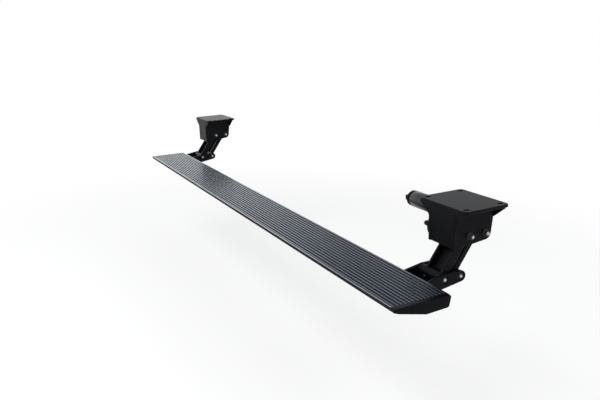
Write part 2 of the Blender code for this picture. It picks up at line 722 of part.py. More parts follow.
def make_t_bolt(name, x, axis):
    """Square head in the T-slot, shank down through the slot's mouth and the bracket's base."""
    seat = -BOARD_DEPTH + SLOT_LIP + TOUCH
    half = T_BOLT_HEAD / 2
    bolt = block(name, (x - half, SLOT_Y - half, seat), (x + half, SLOT_Y + half,
                 seat + T_BOLT_HEAD_HEIGHT), ZINC_STEEL, axis, rim=0.0006)
    low = -BOARD_DEPTH - 2 * TOUCH - BASE_THICKNESS - NUT_FLANGE - NUT_HEIGHT - BOLT_THREAD_PROUD
    shank = upright_slot(name + ".shank", x, SLOT_Y, low, seat + 0.001, T_BOLT_RADIUS, 0.0, axis)
    join(bolt, shank)
    return bolt


def make_base_nut(name, x, axis):
    """Flange nut under the step bracket's base."""
    seat = -BOARD_DEPTH - 2 * TOUCH - BASE_THICKNESS
    turn = empty(name + ".axis", (x, SLOT_Y, seat), axis, turn=(0.0, math.pi / 2, 0.0))
    return make_flange_nut(name, 0.0, (0.0, 0.0), T_BOLT_RADIUS + RUN, BLACK_STEEL, turn)


# Mounting bracket
def make_mounting_bracket(name, x, axis, driven):
    """Inverted U casting: top plate with slots, two cheeks, a front wall and four gussets."""
    plate_low = MOUNT_TOP - MOUNT_PLATE
    main = (UPPER_MAIN.y, UPPER_MAIN.z)
    idler = (UPPER_IDLER.y, UPPER_IDLER.z)
    wall_low = main[1] - MOUNT_WALL_DROP
    radius = MOUNT_NOSE_RADIUS
    corners = []
    for side in (-1, 1):
        for y in (MOUNT_Y0 + MOUNT_CORNER, MOUNT_Y1 - MOUNT_CORNER):
            corners += circle(x + side * (MOUNT_SIDE - MOUNT_CORNER), y, MOUNT_CORNER, ROUND)
    bracket = slab(name, hull(corners), plate_low, MOUNT_TOP, BLACK_CASTING, axis, rim=0.0012)
    front = MOUNT_Y0 + 0.0012
    back = MOUNT_Y1 - 0.0100
    points = [(front, plate_low + 0.003), (front, wall_low), (front + MOUNT_WALL, wall_low),
              (back, plate_low + 0.003)]
    cheek = hull(points + circle(main[0], main[1], radius, FINE) + circle(idler[0], idler[1], radius,
                                                                         FINE))
    for side in (-1, 1):
        outer = x + side * CHEEK_SIDE
        inner = x + side * ARM_SIDE
        join(bracket, prism(f"{name}.cheek{side}", cheek, min(outer, inner), max(outer, inner), None,
                            axis, rim=0.0008))
    inside = ARM_SIDE + 0.001
    wall = [(front + 0.0004, wall_low + 0.001), (front + MOUNT_WALL, wall_low + 0.001),
            (front + MOUNT_WALL, plate_low + 0.002), (front + 0.0004, plate_low + 0.002)]
    join(bracket, prism(name + ".wall", wall, x - inside, x + inside, None, axis))
    for side in (-1, 1):
        for tag, y in (("front", front + GUSSET_INSET), ("back", back - GUSSET - GUSSET_INSET)):
            inner = x + side * (CHEEK_SIDE - 0.001)
            outer = x + side * (MOUNT_SIDE - 0.004)
            bm = bmesh.new()
            corners = [(inner, plate_low + 0.002), (outer, plate_low + 0.002),
                       (outer, plate_low - 0.003), (inner, plate_low - GUSSET_HEIGHT)]
            verts = [bm.verts.new((px, y, pz)) for px, pz in corners]
            start = bm.faces.new(verts)
            made = bmesh.ops.extrude_face_region(bm, geom=[start])
            moved = [g for g in made["geom"] if isinstance(g, bmesh.types.BMVert)]
            bmesh.ops.translate(bm, verts=moved, vec=(0.0, GUSSET, 0.0))
            join(bracket, finish(bm, f"{name}.gusset_{tag}{side}", None, axis))
    near_bore = SHAFT_RADIUS if driven else BOLT_RADIUS
    far_bore = SHAFT_FAR_RADIUS if driven else BOLT_RADIUS
    beyond = CHEEK_SIDE + 0.002
    cut(bracket, rod(name + ".near_bore", main, near_bore + RUN, x - beyond, x - ARM_SIDE / 2, axis),
        rod(name + ".far_bore", main, far_bore + RUN, x + ARM_SIDE / 2, x + beyond, axis),
        rod(name + ".idler_bore", idler, BOLT_RADIUS + RUN, x - beyond, x + beyond, axis))
    for i, side in enumerate((-1, 1)):
        for j, y in enumerate((MOUNT_Y0 + MOUNT_SLOT_EDGE, MOUNT_Y1 - MOUNT_SLOT_EDGE)):
            px = x + side * (MOUNT_SIDE - MOUNT_SLOT_EDGE)
            cut(bracket, upright_slot(f"{name}.slot{i}{j}", px, y, plate_low - 0.002,
                                      MOUNT_TOP + 0.002, MOUNT_SLOT_RADIUS, MOUNT_SLOT_TRAVEL, axis))
    if driven:
        for i, (place, centre) in enumerate(case_screws()):
            cut(bracket, rod(f"{name}.case_hole{i}", place, SCREW_RADIUS + TOUCH,
                             x - CHEEK_SIDE - 0.002, x - CHEEK_SIDE + SCREW_BITE + TOUCH, axis,
                             SMALL))
    return bracket


def make_bump_stop(name, x, axis):
    """Rubber wedge between the front wall and the main arm's outer ribs."""
    along = -UP_THE_ARM
    normal = Vector((0.0, -math.cos(REST_SWING), math.sin(REST_SWING)))
    face = UPPER_MAIN + normal * (MAIN_RIB_DEPTH / 2 + TOUCH)
    high = face + along * STOP_UPPER
    low = face + along * STOP_LOWER
    back = MOUNT_Y0 + 0.0012 + MOUNT_WALL + TOUCH
    outline = [(back, low.z), (low.y, low.z), (high.y, high.z), (back, high.z)]
    return prism(name, outline, x - STOP_LEFT, x + STOP_RIGHT, RUBBER, axis, rim=0.0008)


# Drive
def involute_flank(base, start, end, steps):
    """Radius and roll-off angle along an involute between two radii."""
    points = []
    for i in range(steps + 1):
        radius = start + (end - start) * i / steps
        turn = 0.0
        if radius > base:
            pressure = math.acos(base / radius)
            turn = math.tan(pressure) - pressure
        points.append((radius, turn))
    return points


def tooth(teeth, centre_angle, steps):
    """One tooth's outline in polar form, running anticlockwise, root to root."""
    pitch = GEAR_MODULE * teeth / 2
    base = pitch * math.cos(PRESSURE_ANGLE)
    root = pitch - TOOTH_DEDENDUM * GEAR_MODULE
    tip = pitch + TOOTH_ADDENDUM * GEAR_MODULE
    roll = math.tan(PRESSURE_ANGLE) - PRESSURE_ANGLE
    half = (math.pi * GEAR_MODULE - BACKLASH) / (4 * pitch) + roll
    flank = involute_flank(base, max(base, root), tip, steps)
    lead = [(root, centre_angle - half)] if root < base - 1e-6 else []
    lead += [(radius, centre_angle - half + turn) for radius, turn in flank]
    trail = [(radius, centre_angle + half - turn) for radius, turn in reversed(flank)]
    trail += [(root, centre_angle + half)] if root < base - 1e-6 else []
    return lead + trail


def polar(points, centre):
    return [(centre[0] + r * math.cos(a), centre[1] + r * math.sin(a)) for r, a in points]


def make_sector(name, x, axis):
    """Toothed sector on the drive shaft. A tooth gap lies on the line to the pinion at rest."""
    step = 2 * math.pi / SECTOR_TEETH_FULL
    behind = math.ceil((SWING_RANGE + SECTOR_MARGIN) / step)
    ahead = math.ceil(SECTOR_MARGIN / step)
    line = PINION_DIRECTION + REST_SWING
    points = []
    for i in range(-behind, ahead):
        points += tooth(SECTOR_TEETH_FULL, line + (i + 0.5) * step, 2)
    hub = SHAFT_END_RADIUS * 2.2
    first = points[0][1]
    last = points[-1][1]
    root = points[0][0]
    swing = last - first
    rest = 2 * math.pi - swing
    back = [(hub, last + rest * (i + 1) / 12) for i in range(11)]
    outline = polar(points + [(root * 0.80, last + 0.12)] + back + [(root * 0.80, first - 0.12)],
                    (0.0, 0.0))
    sector = prism(name, outline, x + GEAR_X0, x + GEAR_X1, GEAR_STEEL, axis)
    key = circle(0.0, 0.0, SHAFT_END_RADIUS + TOUCH, 4)
    cut(sector, prism(name + ".square_bore", key, x + GEAR_X0 - 0.001, x + GEAR_X1 + 0.001, None,
                      axis))
    return sector


def make_pinion(name, x, axis):
    """Pinion with its shaft, which runs into the gearbox."""
    line = PINION_DIRECTION + math.pi
    step = 2 * math.pi / PINION_TEETH
    points = []
    for i in range(PINION_TEETH):
        points += tooth(PINION_TEETH, line + i * step, 2)
    pinion = prism(name, polar(points, (0.0, 0.0)), x + GEAR_X0, x + GEAR_X1, GEAR_STEEL, axis)
    join(pinion, rod(name + ".shaft", (0.0, 0.0), PINION_SHAFT_RADIUS,
                     x + CASE_X0 - GEARBOX_FLANGE - 0.008, x + GEAR_X0 + 0.004, axis, ROUND))
    return pinion


def make_drive_shaft(name, x, axis):
    """Hexagon through the main arm, round journals in the cheeks, square end for the sector."""
    half = ARM_HALF_WIDTH + TOUCH
    hex_half = (half + ARM_SIDE) / 2
    shaft = prism(name, circle(0.0, 0.0, SHAFT_HEX / math.sqrt(3), 6), x - hex_half, x + hex_half,
                  GEAR_STEEL, axis)
    nut_end = x + CHEEK_SIDE + TOUCH + NUT_FLANGE + NUT_HEIGHT + BOLT_THREAD_PROUD
    join(shaft,
         rod(name + ".journal_a", (0.0, 0.0), SHAFT_RADIUS, x - CHEEK_SIDE - TOUCH, x - half, axis),
         rod(name + ".journal_b", (0.0, 0.0), SHAFT_FAR_RADIUS, x + half, x + CHEEK_SIDE, axis),
         rod(name + ".thread", (0.0, 0.0), BOLT_THREAD_RADIUS, x + CHEEK_SIDE - 0.001, nut_end, axis,
             SMALL),
         prism(name + ".square", circle(0.0, 0.0, SHAFT_END_RADIUS, 4), x + CASE_X0 + 0.002,
               x - CHEEK_SIDE, None, axis))
    return shaft


def case_room():
    """Outline of the room for the sector and the pinion."""
    main = (UPPER_MAIN.y, UPPER_MAIN.z)
    pinion = (PINION_AXIS.y, PINION_AXIS.z)
    return main, SECTOR_TIP + CASE_ROOM, pinion, PINION_TIP + CASE_ROOM


def case_screws():
    """Screw places on lugs round the case, each with the centre that its lug grows from."""
    main, big, pinion, small = case_room()
    rim = big + CASE_WALL + SCREW_HEAD_RADIUS + TOUCH
    end = CASE_END_RADIUS + CASE_LUG_RADIUS
    places = []
    for centre, reach, angle in ((main, rim, 165.0), (pinion, end, 150.0), (pinion, end, 25.0)):
        turn = math.radians(angle)
        places.append(((centre[0] + reach * math.cos(turn), centre[1] + reach * math.sin(turn)), centre))
    return places


def gearbox_screws():
    """Screw places of the gearbox flange, round the pinion's axis where the case is solid."""
    places = []
    for angle in (-12.0, 75.0, 162.0):
        turn = math.radians(angle)
        places.append((PINION_AXIS.y + GEARBOX_SCREW_RING * math.cos(turn),
                       PINION_AXIS.z + GEARBOX_SCREW_RING * math.sin(turn)))
    return places


def make_gear_case(name, x, axis):
    """Hood over the gears, open below where the sector swings past."""
    main, big, pinion, small = case_room()
    wall = CASE_WALL
    face = x + CASE_X0
    room = hull(circle(main[0], main[1], big, FINE) + circle(pinion[0], pinion[1], small, FINE))
    shell = hull(circle(main[0], main[1], big + wall, FINE)
                 + circle(pinion[0], pinion[1], CASE_END_RADIUS, FINE))
    case = prism(name, shell, face, x + CASE_X1, BLACK_CASTING, axis, rim=0.0008)
    for i, (place, centre) in enumerate(case_screws()):
        lug = hull(circle(place[0], place[1], CASE_LUG_RADIUS, SMALL)
                   + circle(centre[0], centre[1], CASE_LUG_RADIUS * 1.5, SMALL))
        join(case, prism(f"{name}.lug{i}", lug, face + CASE_LUG_SET_BACK, x + CASE_X1 - 0.0001, None,
                         axis))
    cut(case, prism(name + ".room", room, face + CASE_FLOOR, x + CASE_X1 + 0.002, None, axis))
    low = main[1] - CASE_OPEN_BELOW
    side = 2 * big
    below = [(main[0] - side, low - side), (main[0] + side, low - side), (main[0] + side, low),
             (main[0] - side, low)]
    beyond = 0.002
    cut(case, prism(name + ".open_below", below, face - beyond, x + CASE_X1 + beyond, None, axis),
        rod(name + ".pinion_hole", pinion, PINION_SHAFT_RADIUS + RUN, face - beyond,
            face + CASE_FLOOR + beyond, axis),
        rod(name + ".shaft_hole", main, SHAFT_END_RADIUS + RUN, face - beyond,
            face + CASE_FLOOR + beyond, axis))
    for i, (place, centre) in enumerate(case_screws()):
        cut(case, rod(f"{name}.screw_hole{i}", place, SCREW_RADIUS + TOUCH, face, x + CASE_X1 + beyond,
                      axis, SMALL))
    for i, place in enumerate(gearbox_screws()):
        cut(case, rod(f"{name}.gearbox_hole{i}", place, SCREW_RADIUS + TOUCH, face - beyond,
                      face + SCREW_BITE + TOUCH, axis, SMALL))
    return case


def make_screw(name, seat, tip, place, axis):
    """Socket head screw along +X, from its seat to its tip."""
    head = SCREW_HEAD
    radius = SCREW_HEAD_RADIUS
    socket = radius * 0.55
    profile = [(seat - head * 0.4, 0.0), (seat - head * 0.4, socket), (seat - head, socket),
               (seat - head, radius), (seat, radius), (seat, SCREW_RADIUS), (tip, SCREW_RADIUS),
               (tip, 0.0)]
    return turned(name, profile, place, ZINC_STEEL, axis, steps=SMALL)


def make_gearbox(name, x, axis):
    """Die-cast gearbox housing: three-lug flange, neck, cone and body."""
    centre = (PINION_AXIS.y, PINION_AXIS.z)
    seat = x + CASE_X0 - TOUCH
    flange = circle(centre[0], centre[1], GEARBOX_NECK_RADIUS + 0.001, FINE)
    for place in gearbox_screws():
        flange += circle(place[0], place[1], SCREW_HEAD_RADIUS + 0.0004, SMALL)
    box = prism(name, hull(flange), seat - GEARBOX_FLANGE, seat, BLACK_CASTING, axis, rim=0.0006)
    end = seat - GEARBOX_LENGTH
    neck_end = seat - GEARBOX_FLANGE - GEARBOX_NECK
    cone_end = neck_end - (GEARBOX_RADIUS - GEARBOX_NECK_RADIUS)
    profile = [(end, 0.0), (end, GEARBOX_RADIUS - 0.001), (end + 0.001, GEARBOX_RADIUS),
               (cone_end, GEARBOX_RADIUS), (neck_end, GEARBOX_NECK_RADIUS),
               (seat - 0.002, GEARBOX_NECK_RADIUS), (seat - 0.002, 0.0)]
    join(box, turned(name + ".body", profile, centre, None, axis, steps=FINE))
    cut(box, rod(name + ".shaft_bore", centre, PINION_SHAFT_RADIUS + RUN,
                 seat - GEARBOX_FLANGE - 0.010, seat + 0.002, axis))
    for i, place in enumerate(gearbox_screws()):
        cut(box, rod(f"{name}.screw_hole{i}", place, SCREW_RADIUS + TOUCH, seat - GEARBOX_FLANGE - 0.002,
                     seat + 0.002, axis, SMALL))
    return box


def make_motor_can(name, x, axis):
    """Drawn steel can with a rolled step at each end."""
    start = x + CASE_X0 - 2 * TOUCH - GEARBOX_LENGTH
    end = start - MOTOR_LENGTH
    radius = MOTOR_RADIUS
    step = radius - 0.0012
    profile = [(end, 0.0), (end, step), (end + 0.004, step), (end + 0.0052, radius),
               (start - 0.0062, radius), (start - 0.005, step), (start, step), (start, 0.0)]
    return turned(name, profile, (PINION_AXIS.y, PINION_AXIS.z), MOTOR_STEEL, axis, steps=FINE)


def make_motor_cap(name, x, axis):
    """Moulded end cap with an open socket for the wiring plug."""
    centre = (PINION_AXIS.y, PINION_AXIS.z)
    start = x + CASE_X0 - 3 * TOUCH - GEARBOX_LENGTH - MOTOR_LENGTH
    end = start - MOTOR_CAP_LENGTH
    radius = MOTOR_RADIUS - 0.0004
    profile = [(end, 0.0), (end, radius - 0.003), (end + 0.003, radius), (start, radius), (start, 0.0)]
    cap = turned(name, profile, centre, BLACK_PLASTIC, axis, steps=FINE)
    low = centre[1] - SOCKET_HEIGHT / 2
    high = centre[1] + SOCKET_HEIGHT / 2
    left = centre[0] - SOCKET_WIDTH / 2
    right = centre[0] + SOCKET_WIDTH / 2
    tip = end - SOCKET_LENGTH
    join(cap, block(name + ".socket", (tip, left, low), (end + 0.002, right, high), None, axis))
    wall = SOCKET_WALL
    cut(cap, block(name + ".socket_room", (tip - 0.002, left + wall, low + wall),
                   (end - 0.001, right - wall, high - wall), None, axis))
    return cap


# Assembly
clear_scene()
BLACK_ALUMINIUM = material("black_anodised_aluminium", (0.085, 0.095, 0.112), 0.36, 0.85)
BLACK_CASTING = material("black_coated_casting", (0.012, 0.012, 0.014), 0.45, 0.30)
BLACK_PLASTIC = material("black_moulded_plastic", (0.014, 0.015, 0.018), 0.50, 0.0)
BLACK_STEEL = material("black_phosphated_steel", (0.030, 0.030, 0.032), 0.45, 0.80)
ZINC_STEEL = material("zinc_plated_steel", (0.62, 0.63, 0.65), 0.28, 1.0)
GEAR_STEEL = material("machined_steel", (0.42, 0.42, 0.43), 0.35, 1.0)
MOTOR_STEEL = material("painted_motor_can", (0.030, 0.031, 0.034), 0.38, 0.60)
BRONZE = material("sleeve_bronze", (0.45, 0.30, 0.14), 0.40, 1.0)
RUBBER = material("black_rubber", (0.020, 0.020, 0.020), 0.85, 0.0)

frame = empty("running_board_frame", -ORIGIN)
front_x = LINKAGE_X["front"]
board_axis = empty("board_pivot", LOWER_MAIN + Vector((front_x, 0.0, 0.0)), frame,
                   drawn_in_frame=True)
make_board(board_axis)
make_cap("end_cap_front", 1, board_axis)
make_cap("end_cap_rear", -1, board_axis)

for end, link_x in LINKAGE_X.items():
    driven = end == "front"
    at = Vector((link_x, 0.0, 0.0))
    swing = (-REST_SWING, 0.0, 0.0)
    main_axis = empty(f"main_arm_pivot_{end}", UPPER_MAIN + at, frame, turn=swing)
    idler_axis = empty(f"idler_arm_pivot_{end}", UPPER_IDLER + at, frame, turn=swing)

    make_step_bracket(f"step_bracket_{end}", link_x, board_axis)
    for tag, offset in (("a", -T_BOLT_SPREAD / 2), ("b", T_BOLT_SPREAD / 2)):
        make_t_bolt(f"t_bolt_{end}_{tag}", link_x + offset, board_axis)
        make_base_nut(f"t_bolt_nut_{end}_{tag}", link_x + offset, board_axis)
    for tag, centre in (("main", LOWER_MAIN), ("idler", LOWER_IDLER)):
        pivot = (centre.y, centre.z)
        nut_x = link_x + CHEEK_SIDE - LOW_NUT_SINK + TOUCH
        make_pivot_bolt(f"lower_{tag}_bolt_{end}", link_x, pivot, ZINC_STEEL, board_axis, sunk=True)
        make_flange_nut(f"lower_{tag}_nut_{end}", nut_x, pivot, BOLT_THREAD_RADIUS + RUN, BLACK_STEEL,
                        board_axis, LOW_NUT_FLANGE, LOW_NUT_HEIGHT)

    make_main_arm(f"main_arm_{end}", main_axis, driven)
    make_sleeve(f"main_arm_low_sleeve_{end}", 0.0, (0.0, -ARM_LENGTH), main_axis)
    make_idler_arm(f"idler_arm_{end}", idler_axis)
    make_sleeve(f"idler_arm_low_sleeve_{end}", 0.0, (0.0, -ARM_LENGTH), idler_axis)
    make_sleeve(f"idler_arm_top_sleeve_{end}", 0.0, (0.0, 0.0), idler_axis)

    make_mounting_bracket(f"mounting_bracket_{end}", link_x, frame, driven)
    make_bump_stop(f"bump_stop_{end}", link_x, frame)
    upper = (UPPER_IDLER.y, UPPER_IDLER.z)
    make_pivot_bolt(f"upper_idler_bolt_{end}", link_x, upper, ZINC_STEEL, frame)
    make_flange_nut(f"upper_idler_nut_{end}", link_x + CHEEK_SIDE + TOUCH, upper,
                    BOLT_THREAD_RADIUS + RUN, BLACK_STEEL, frame)
    if driven:
        pinion_axis = empty("pinion_pivot", PINION_AXIS + at, frame)
        make_drive_shaft("drive_shaft", 0.0, main_axis)
        make_flange_nut("drive_shaft_nut", CHEEK_SIDE + TOUCH, (0.0, 0.0), BOLT_THREAD_RADIUS + RUN,
                        BLACK_STEEL, main_axis)
        make_sector("sector_gear", 0.0, main_axis)
        make_pinion("drive_pinion", 0.0, pinion_axis)
        make_gear_case("gear_case", link_x, frame)
        lug_face = link_x + CASE_X0 + CASE_LUG_SET_BACK - TOUCH
        bite = link_x - CHEEK_SIDE + SCREW_BITE
        for tag, (place, centre) in zip("abc", case_screws()):
            make_screw(f"case_screw_{tag}", lug_face, bite, place, frame)
        flange_face = link_x + CASE_X0 - 2 * TOUCH - GEARBOX_FLANGE
        bite = link_x + CASE_X0 + SCREW_BITE
        for tag, place in zip("abc", gearbox_screws()):
            make_screw(f"gearbox_screw_{tag}", flange_face, bite, place, frame)
        make_gearbox("gearbox_housing", link_x, frame)
        make_motor_can("motor_can", link_x, frame)
        make_motor_cap("motor_end_cap", link_x, frame)
    else:
        make_sleeve(f"main_arm_top_sleeve_{end}", 0.0, (0.0, 0.0), main_axis)
        upper = (UPPER_MAIN.y, UPPER_MAIN.z)
        make_pivot_bolt(f"upper_main_bolt_{end}", link_x, upper, ZINC_STEEL, frame)
        make_flange_nut(f"upper_main_nut_{end}", link_x + CHEEK_SIDE + TOUCH, upper,
                        BOLT_THREAD_RADIUS + RUN, BLACK_STEEL, frame)

settle()
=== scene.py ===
import json
import math

import bmesh
import bpy
from mathutils import Matrix, Vector
from mathutils.geometry import delaunay_2d_cdt

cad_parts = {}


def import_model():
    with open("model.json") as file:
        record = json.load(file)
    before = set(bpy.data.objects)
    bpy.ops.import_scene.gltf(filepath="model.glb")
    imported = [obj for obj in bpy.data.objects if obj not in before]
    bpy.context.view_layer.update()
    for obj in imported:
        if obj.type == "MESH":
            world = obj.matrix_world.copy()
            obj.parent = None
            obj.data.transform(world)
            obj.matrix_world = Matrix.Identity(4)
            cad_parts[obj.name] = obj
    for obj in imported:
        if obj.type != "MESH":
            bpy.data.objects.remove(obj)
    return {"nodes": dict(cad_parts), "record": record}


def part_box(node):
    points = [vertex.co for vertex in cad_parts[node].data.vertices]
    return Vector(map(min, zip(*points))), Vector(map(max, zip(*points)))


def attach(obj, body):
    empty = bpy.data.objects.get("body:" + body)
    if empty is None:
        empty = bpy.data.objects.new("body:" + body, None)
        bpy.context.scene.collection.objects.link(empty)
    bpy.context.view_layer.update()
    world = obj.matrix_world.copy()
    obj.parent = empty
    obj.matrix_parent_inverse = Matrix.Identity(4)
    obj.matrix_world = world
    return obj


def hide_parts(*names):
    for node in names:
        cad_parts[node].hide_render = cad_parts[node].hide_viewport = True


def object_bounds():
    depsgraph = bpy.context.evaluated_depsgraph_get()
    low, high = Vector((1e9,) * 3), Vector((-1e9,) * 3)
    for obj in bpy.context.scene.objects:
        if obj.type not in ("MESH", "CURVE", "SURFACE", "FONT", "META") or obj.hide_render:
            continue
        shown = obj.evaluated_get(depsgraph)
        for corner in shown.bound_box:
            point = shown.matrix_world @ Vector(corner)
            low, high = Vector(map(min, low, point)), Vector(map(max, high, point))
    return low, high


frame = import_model()
NODES = frame["nodes"]
CAD_LOW, CAD_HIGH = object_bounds()
SLOT_OF = {part["node"]: part["material_slot"] for part in frame["record"]["subparts"]}
BODY_OF = {node: body for body, group in frame["record"]["behaviour"]["bodies"].items()
           for node in group}
ENDS = ("front", "rear")

# Section of the board: y inwards from the outer edge, z up from the tread. The outline, chambers
# and slot have the CAD's sizes. The ribs' spacing, the ridge at the outer edge and the roundings
# follow the photograph.
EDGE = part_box("board_extrusion")[0].y
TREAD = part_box("board_extrusion")[1].z
WIDTH = 0.152
DEPTH = 0.031
NOSE_HEIGHT = 0.0085
NOSE_ROUND = 0.0016
CHIN_WIDTH = 0.012
CHIN_DROP = 0.0047
CHIN_ROUND = 0.0050
BELLY_ROUND = 0.0080
KEEL_WIDTH = 0.068
KEEL_START = WIDTH - KEEL_WIDTH
KEEL_ROUND = 0.007
BACK_ROUND = 0.0022
SKIN = 0.0026
SLOPE_RISE = 1.05           # height of the sloping skin over its thickness
DECK = 0.0030
WEB = 0.0025
RIDGE_ROUND = 0.0020
RIDGE_SHOULDER = 0.0043
RIDGE_FLANK = ((0.45, 1.0), (0.60, 0.65), (0.78, 0.25), (1.0, 0.02))    # share out, share down
RIBS = 14
RIB_HEIGHT = 0.0019
RIB_FOOT = 0.0068
RIB_PITCH = 0.01052
RIB_FIRST = 0.0098
RIB_SQUARENESS = 5.0
RIB_STEPS = 6
SLOT_MIDDLE = WIDTH - 0.034
SLOT_MOUTH = 0.0090
SLOT_ROOM_WIDTH = 0.0180
SLOT_ROOM_HEIGHT = 0.0075
SLOT_LIP = 0.0032
SLOT_ROUND = 0.0004
CORNER_STEPS = 8
SLOT_STEPS = 2

# End caps
CAP_THICKNESS = 0.016
CAP_STEP = 0.0004
CAP_STRAIGHT = 0.6          # share of the thickness where the rows of the draft begin
CAP_RIM = 0.0034
CAP_RIM_INSET = 0.0020
CAP_RIM_STEPS = 8
CAP_LEAN = 0.0070
CAP_CORNER = 0.0065
CAP_LIFT = 0.0030

# Fasteners. A thread is its radius and pitch.
M8 = (0.0040, 0.00125)
M5 = (0.0025, 0.0008)
THREAD_DEPTH = 0.58         # share of the pitch
THREAD_ROWS = 6             # to a pitch
THREAD_STEPS = 24
BOLT_HEAD = 0.0085
BOLT_HEAD_HEIGHT = 0.0050
BOLT_SHANK = 0.0060
BOLT_SOCKET = 0.0050
BOLT_TIP_GAP = 0.0003
NUT_FLATS = 0.0130
NUT_BORE = 0.0041
NUT_CHAMFER = math.radians(28.0)
NUT_CROWN = 0.475           # radius of the flat top over the flats
T_HEAD_HEIGHT = 0.0052
T_HEAD_ROUND = 0.0009
T_THREAD_LENGTH = 0.0175
SCREW_HEAD = 0.0045
SCREW_HEAD_HEIGHT = 0.0040
SCREW_SOCKET = 0.0042
KNURL_DEPTH = 0.00014
KNURL_TEETH = 24.0
LOCK_TILT = math.radians(-35.0)
LOCK_ASIDE = 0.0135
LOCK_OUT = 0.0110

# Motor can
CAN_STEP = 0.0012
CRIMPS = 8
CRIMP_WIDTH = 0.30          # share of the way to the next one

# Where the board's finish, the painted shade in the grooves and the painted highlight on the ridge
# change: below the tread, and inwards from the ridge and both edges
CROWN_FADE = (0.0010, 0.0003)
TREAD_FADE = (0.0034, 0.0022)
RIDGE_FADE = 0.0010
FLANK_FADE = (0.0003, 0.0015)
SIDE_METAL = 0.05
TREAD_METAL = 0.90
NOISE_LOW = 0.30            # noise runs from about here
NOISE_HIGH = 0.70           # to about here
NOISE_ROUGHNESS = 0.55
CLOUD_DETAIL = 5.0
FINE_DETAIL = 3.0
EVEN = (1.0, 1.0, 1.0)

# Studio
WHITE = (1.0, 1.0, 1.0, 1.0)
FLOOR_BELOW = 0.34
FLOOR_REACH = 60.0
FLOOR_STRETCH = 0.7         # the shadow's patch is longer along the board
FLOOR_FADE = (0.9, 1.9)
DOME = [(0.0, (1.0, 1.0, 1.0)), (0.30, (1.0, 1.0, 1.0)), (0.50, (0.68, 0.71, 0.76)),
        (1.0, (0.43, 0.45, 0.49))]
CAMERA_PLACE = (1.2221, -1.0319, 0.4381)
CAMERA_TURN = math.radians(64.10)
CAMERA_TILT = math.radians(15.22)
CAMERA_ROLL = math.radians(-2.34)
CAMERA_LENS = 39.96


# Node materials
def nodes_of(name):
    """A new material, its node tree and its shader."""
    mat = bpy.data.materials.new(name)
    mat.use_nodes = True
    return mat, mat.node_tree, mat.node_tree.nodes["Principled BSDF"]


def add(tree, kind, **inputs):
    """A node with its sockets and settings filled in by name."""
    node = tree.nodes.new(kind)
    for key, entry in inputs.items():
        if key in node.inputs:
            node.inputs[key].default_value = entry
        else:
            setattr(node, key, entry)
    return node


def maths(tree, operation, *entries):
    """A Math node on sockets and plain numbers."""
    node = add(tree, "ShaderNodeMath", operation=operation)
    for socket, entry in zip(node.inputs, entries):
        if isinstance(entry, float):
            socket.default_value = entry
        else:
            tree.links.new(entry, socket)
    return node.outputs[0]


def fade(tree, source, start, end, low=0.0, high=1.0, smooth=False):
    """Turns a value that goes from start to end into one that goes from low to high."""
    node = add(tree, "ShaderNodeMapRange", interpolation_type="SMOOTHSTEP" if smooth else "LINEAR")
    for name, number in (("From Min", start), ("From Max", end), ("To Min", low), ("To Max", high)):
        node.inputs[name].default_value = number
    tree.links.new(source, node.inputs["Value"])
    return node.outputs["Result"]


def mix_of(tree, factor, first, second, kind="RGBA"):
    """Goes from the first colour or value to the second as the factor grows."""
    node = add(tree, "ShaderNodeMix", data_type=kind)
    for name, source in (("Factor", factor), ("A", first), ("B", second)):
        tree.links.new(source, node.inputs[name])
    return node.outputs["Result"]


def ramp(tree, source, stops):
    """Colours at places between 0 and 1."""
    node = add(tree, "ShaderNodeValToRGB")
    tree.links.new(source, node.inputs["Fac"])
    marks = node.color_ramp.elements
    while len(marks) < len(stops):
        marks.new(0.5)
    for mark, (place, colour) in zip(marks, stops):
        mark.position = place
        mark.color = (*colour, 1.0)
    return node.outputs["Color"]


def grain(tree, scale, detail, stretch=EVEN):
    """Noise in the object's own metres, drawn out along an axis where stretch is small."""
    coord = add(tree, "ShaderNodeTexCoord")
    mapping = add(tree, "ShaderNodeMapping", Scale=stretch)
    noise = add(tree, "ShaderNodeTexNoise", Scale=scale, Detail=detail, Roughness=NOISE_ROUGHNESS)
    tree.links.new(coord.outputs["Object"], mapping.inputs["Vector"])
    tree.links.new(mapping.outputs["Vector"], noise.inputs["Vector"])
    return noise.outputs["Fac"]


def two_tone(tree, noise, dark, light):
    """A colour that wanders between two with the noise."""
    return ramp(tree, noise, [(NOISE_LOW, dark), (NOISE_HIGH, light)])


def span(tree, noise, low, high):
    """Turns noise into a value between low and high."""
    return fade(tree, noise, NOISE_LOW, NOISE_HIGH, low, high)


def bump(tree, shader, height, strength, distance):
    """A fine relief on the shader."""
    node = add(tree, "ShaderNodeBump", Strength=strength, Distance=distance)
    tree.links.new(height, node.inputs["Height"])
    tree.links.new(node.outputs["Normal"], shader.inputs["Normal"])


def finish_of(name, dark, light, metallic, rough, colour_grain, bump_grain, bump_strength,
              bump_depth, bump_stretch=EVEN, specular=0.5):
    """A finish with uneven colour, uneven gloss and a fine relief."""
    mat, tree, shader = nodes_of(name)
    shader.inputs["Metallic"].default_value = metallic
    shader.inputs["Specular IOR Level"].default_value = specular
    cloud = grain(tree, colour_grain, CLOUD_DETAIL)
    tree.links.new(two_tone(tree, cloud, dark, light), shader.inputs["Base Color"])
    fine = grain(tree, bump_grain, FINE_DETAIL, bump_stretch)
    tree.links.new(span(tree, fine, *rough), shader.inputs["Roughness"])
    bump(tree, shader, fine, bump_strength, bump_depth)
    return mat


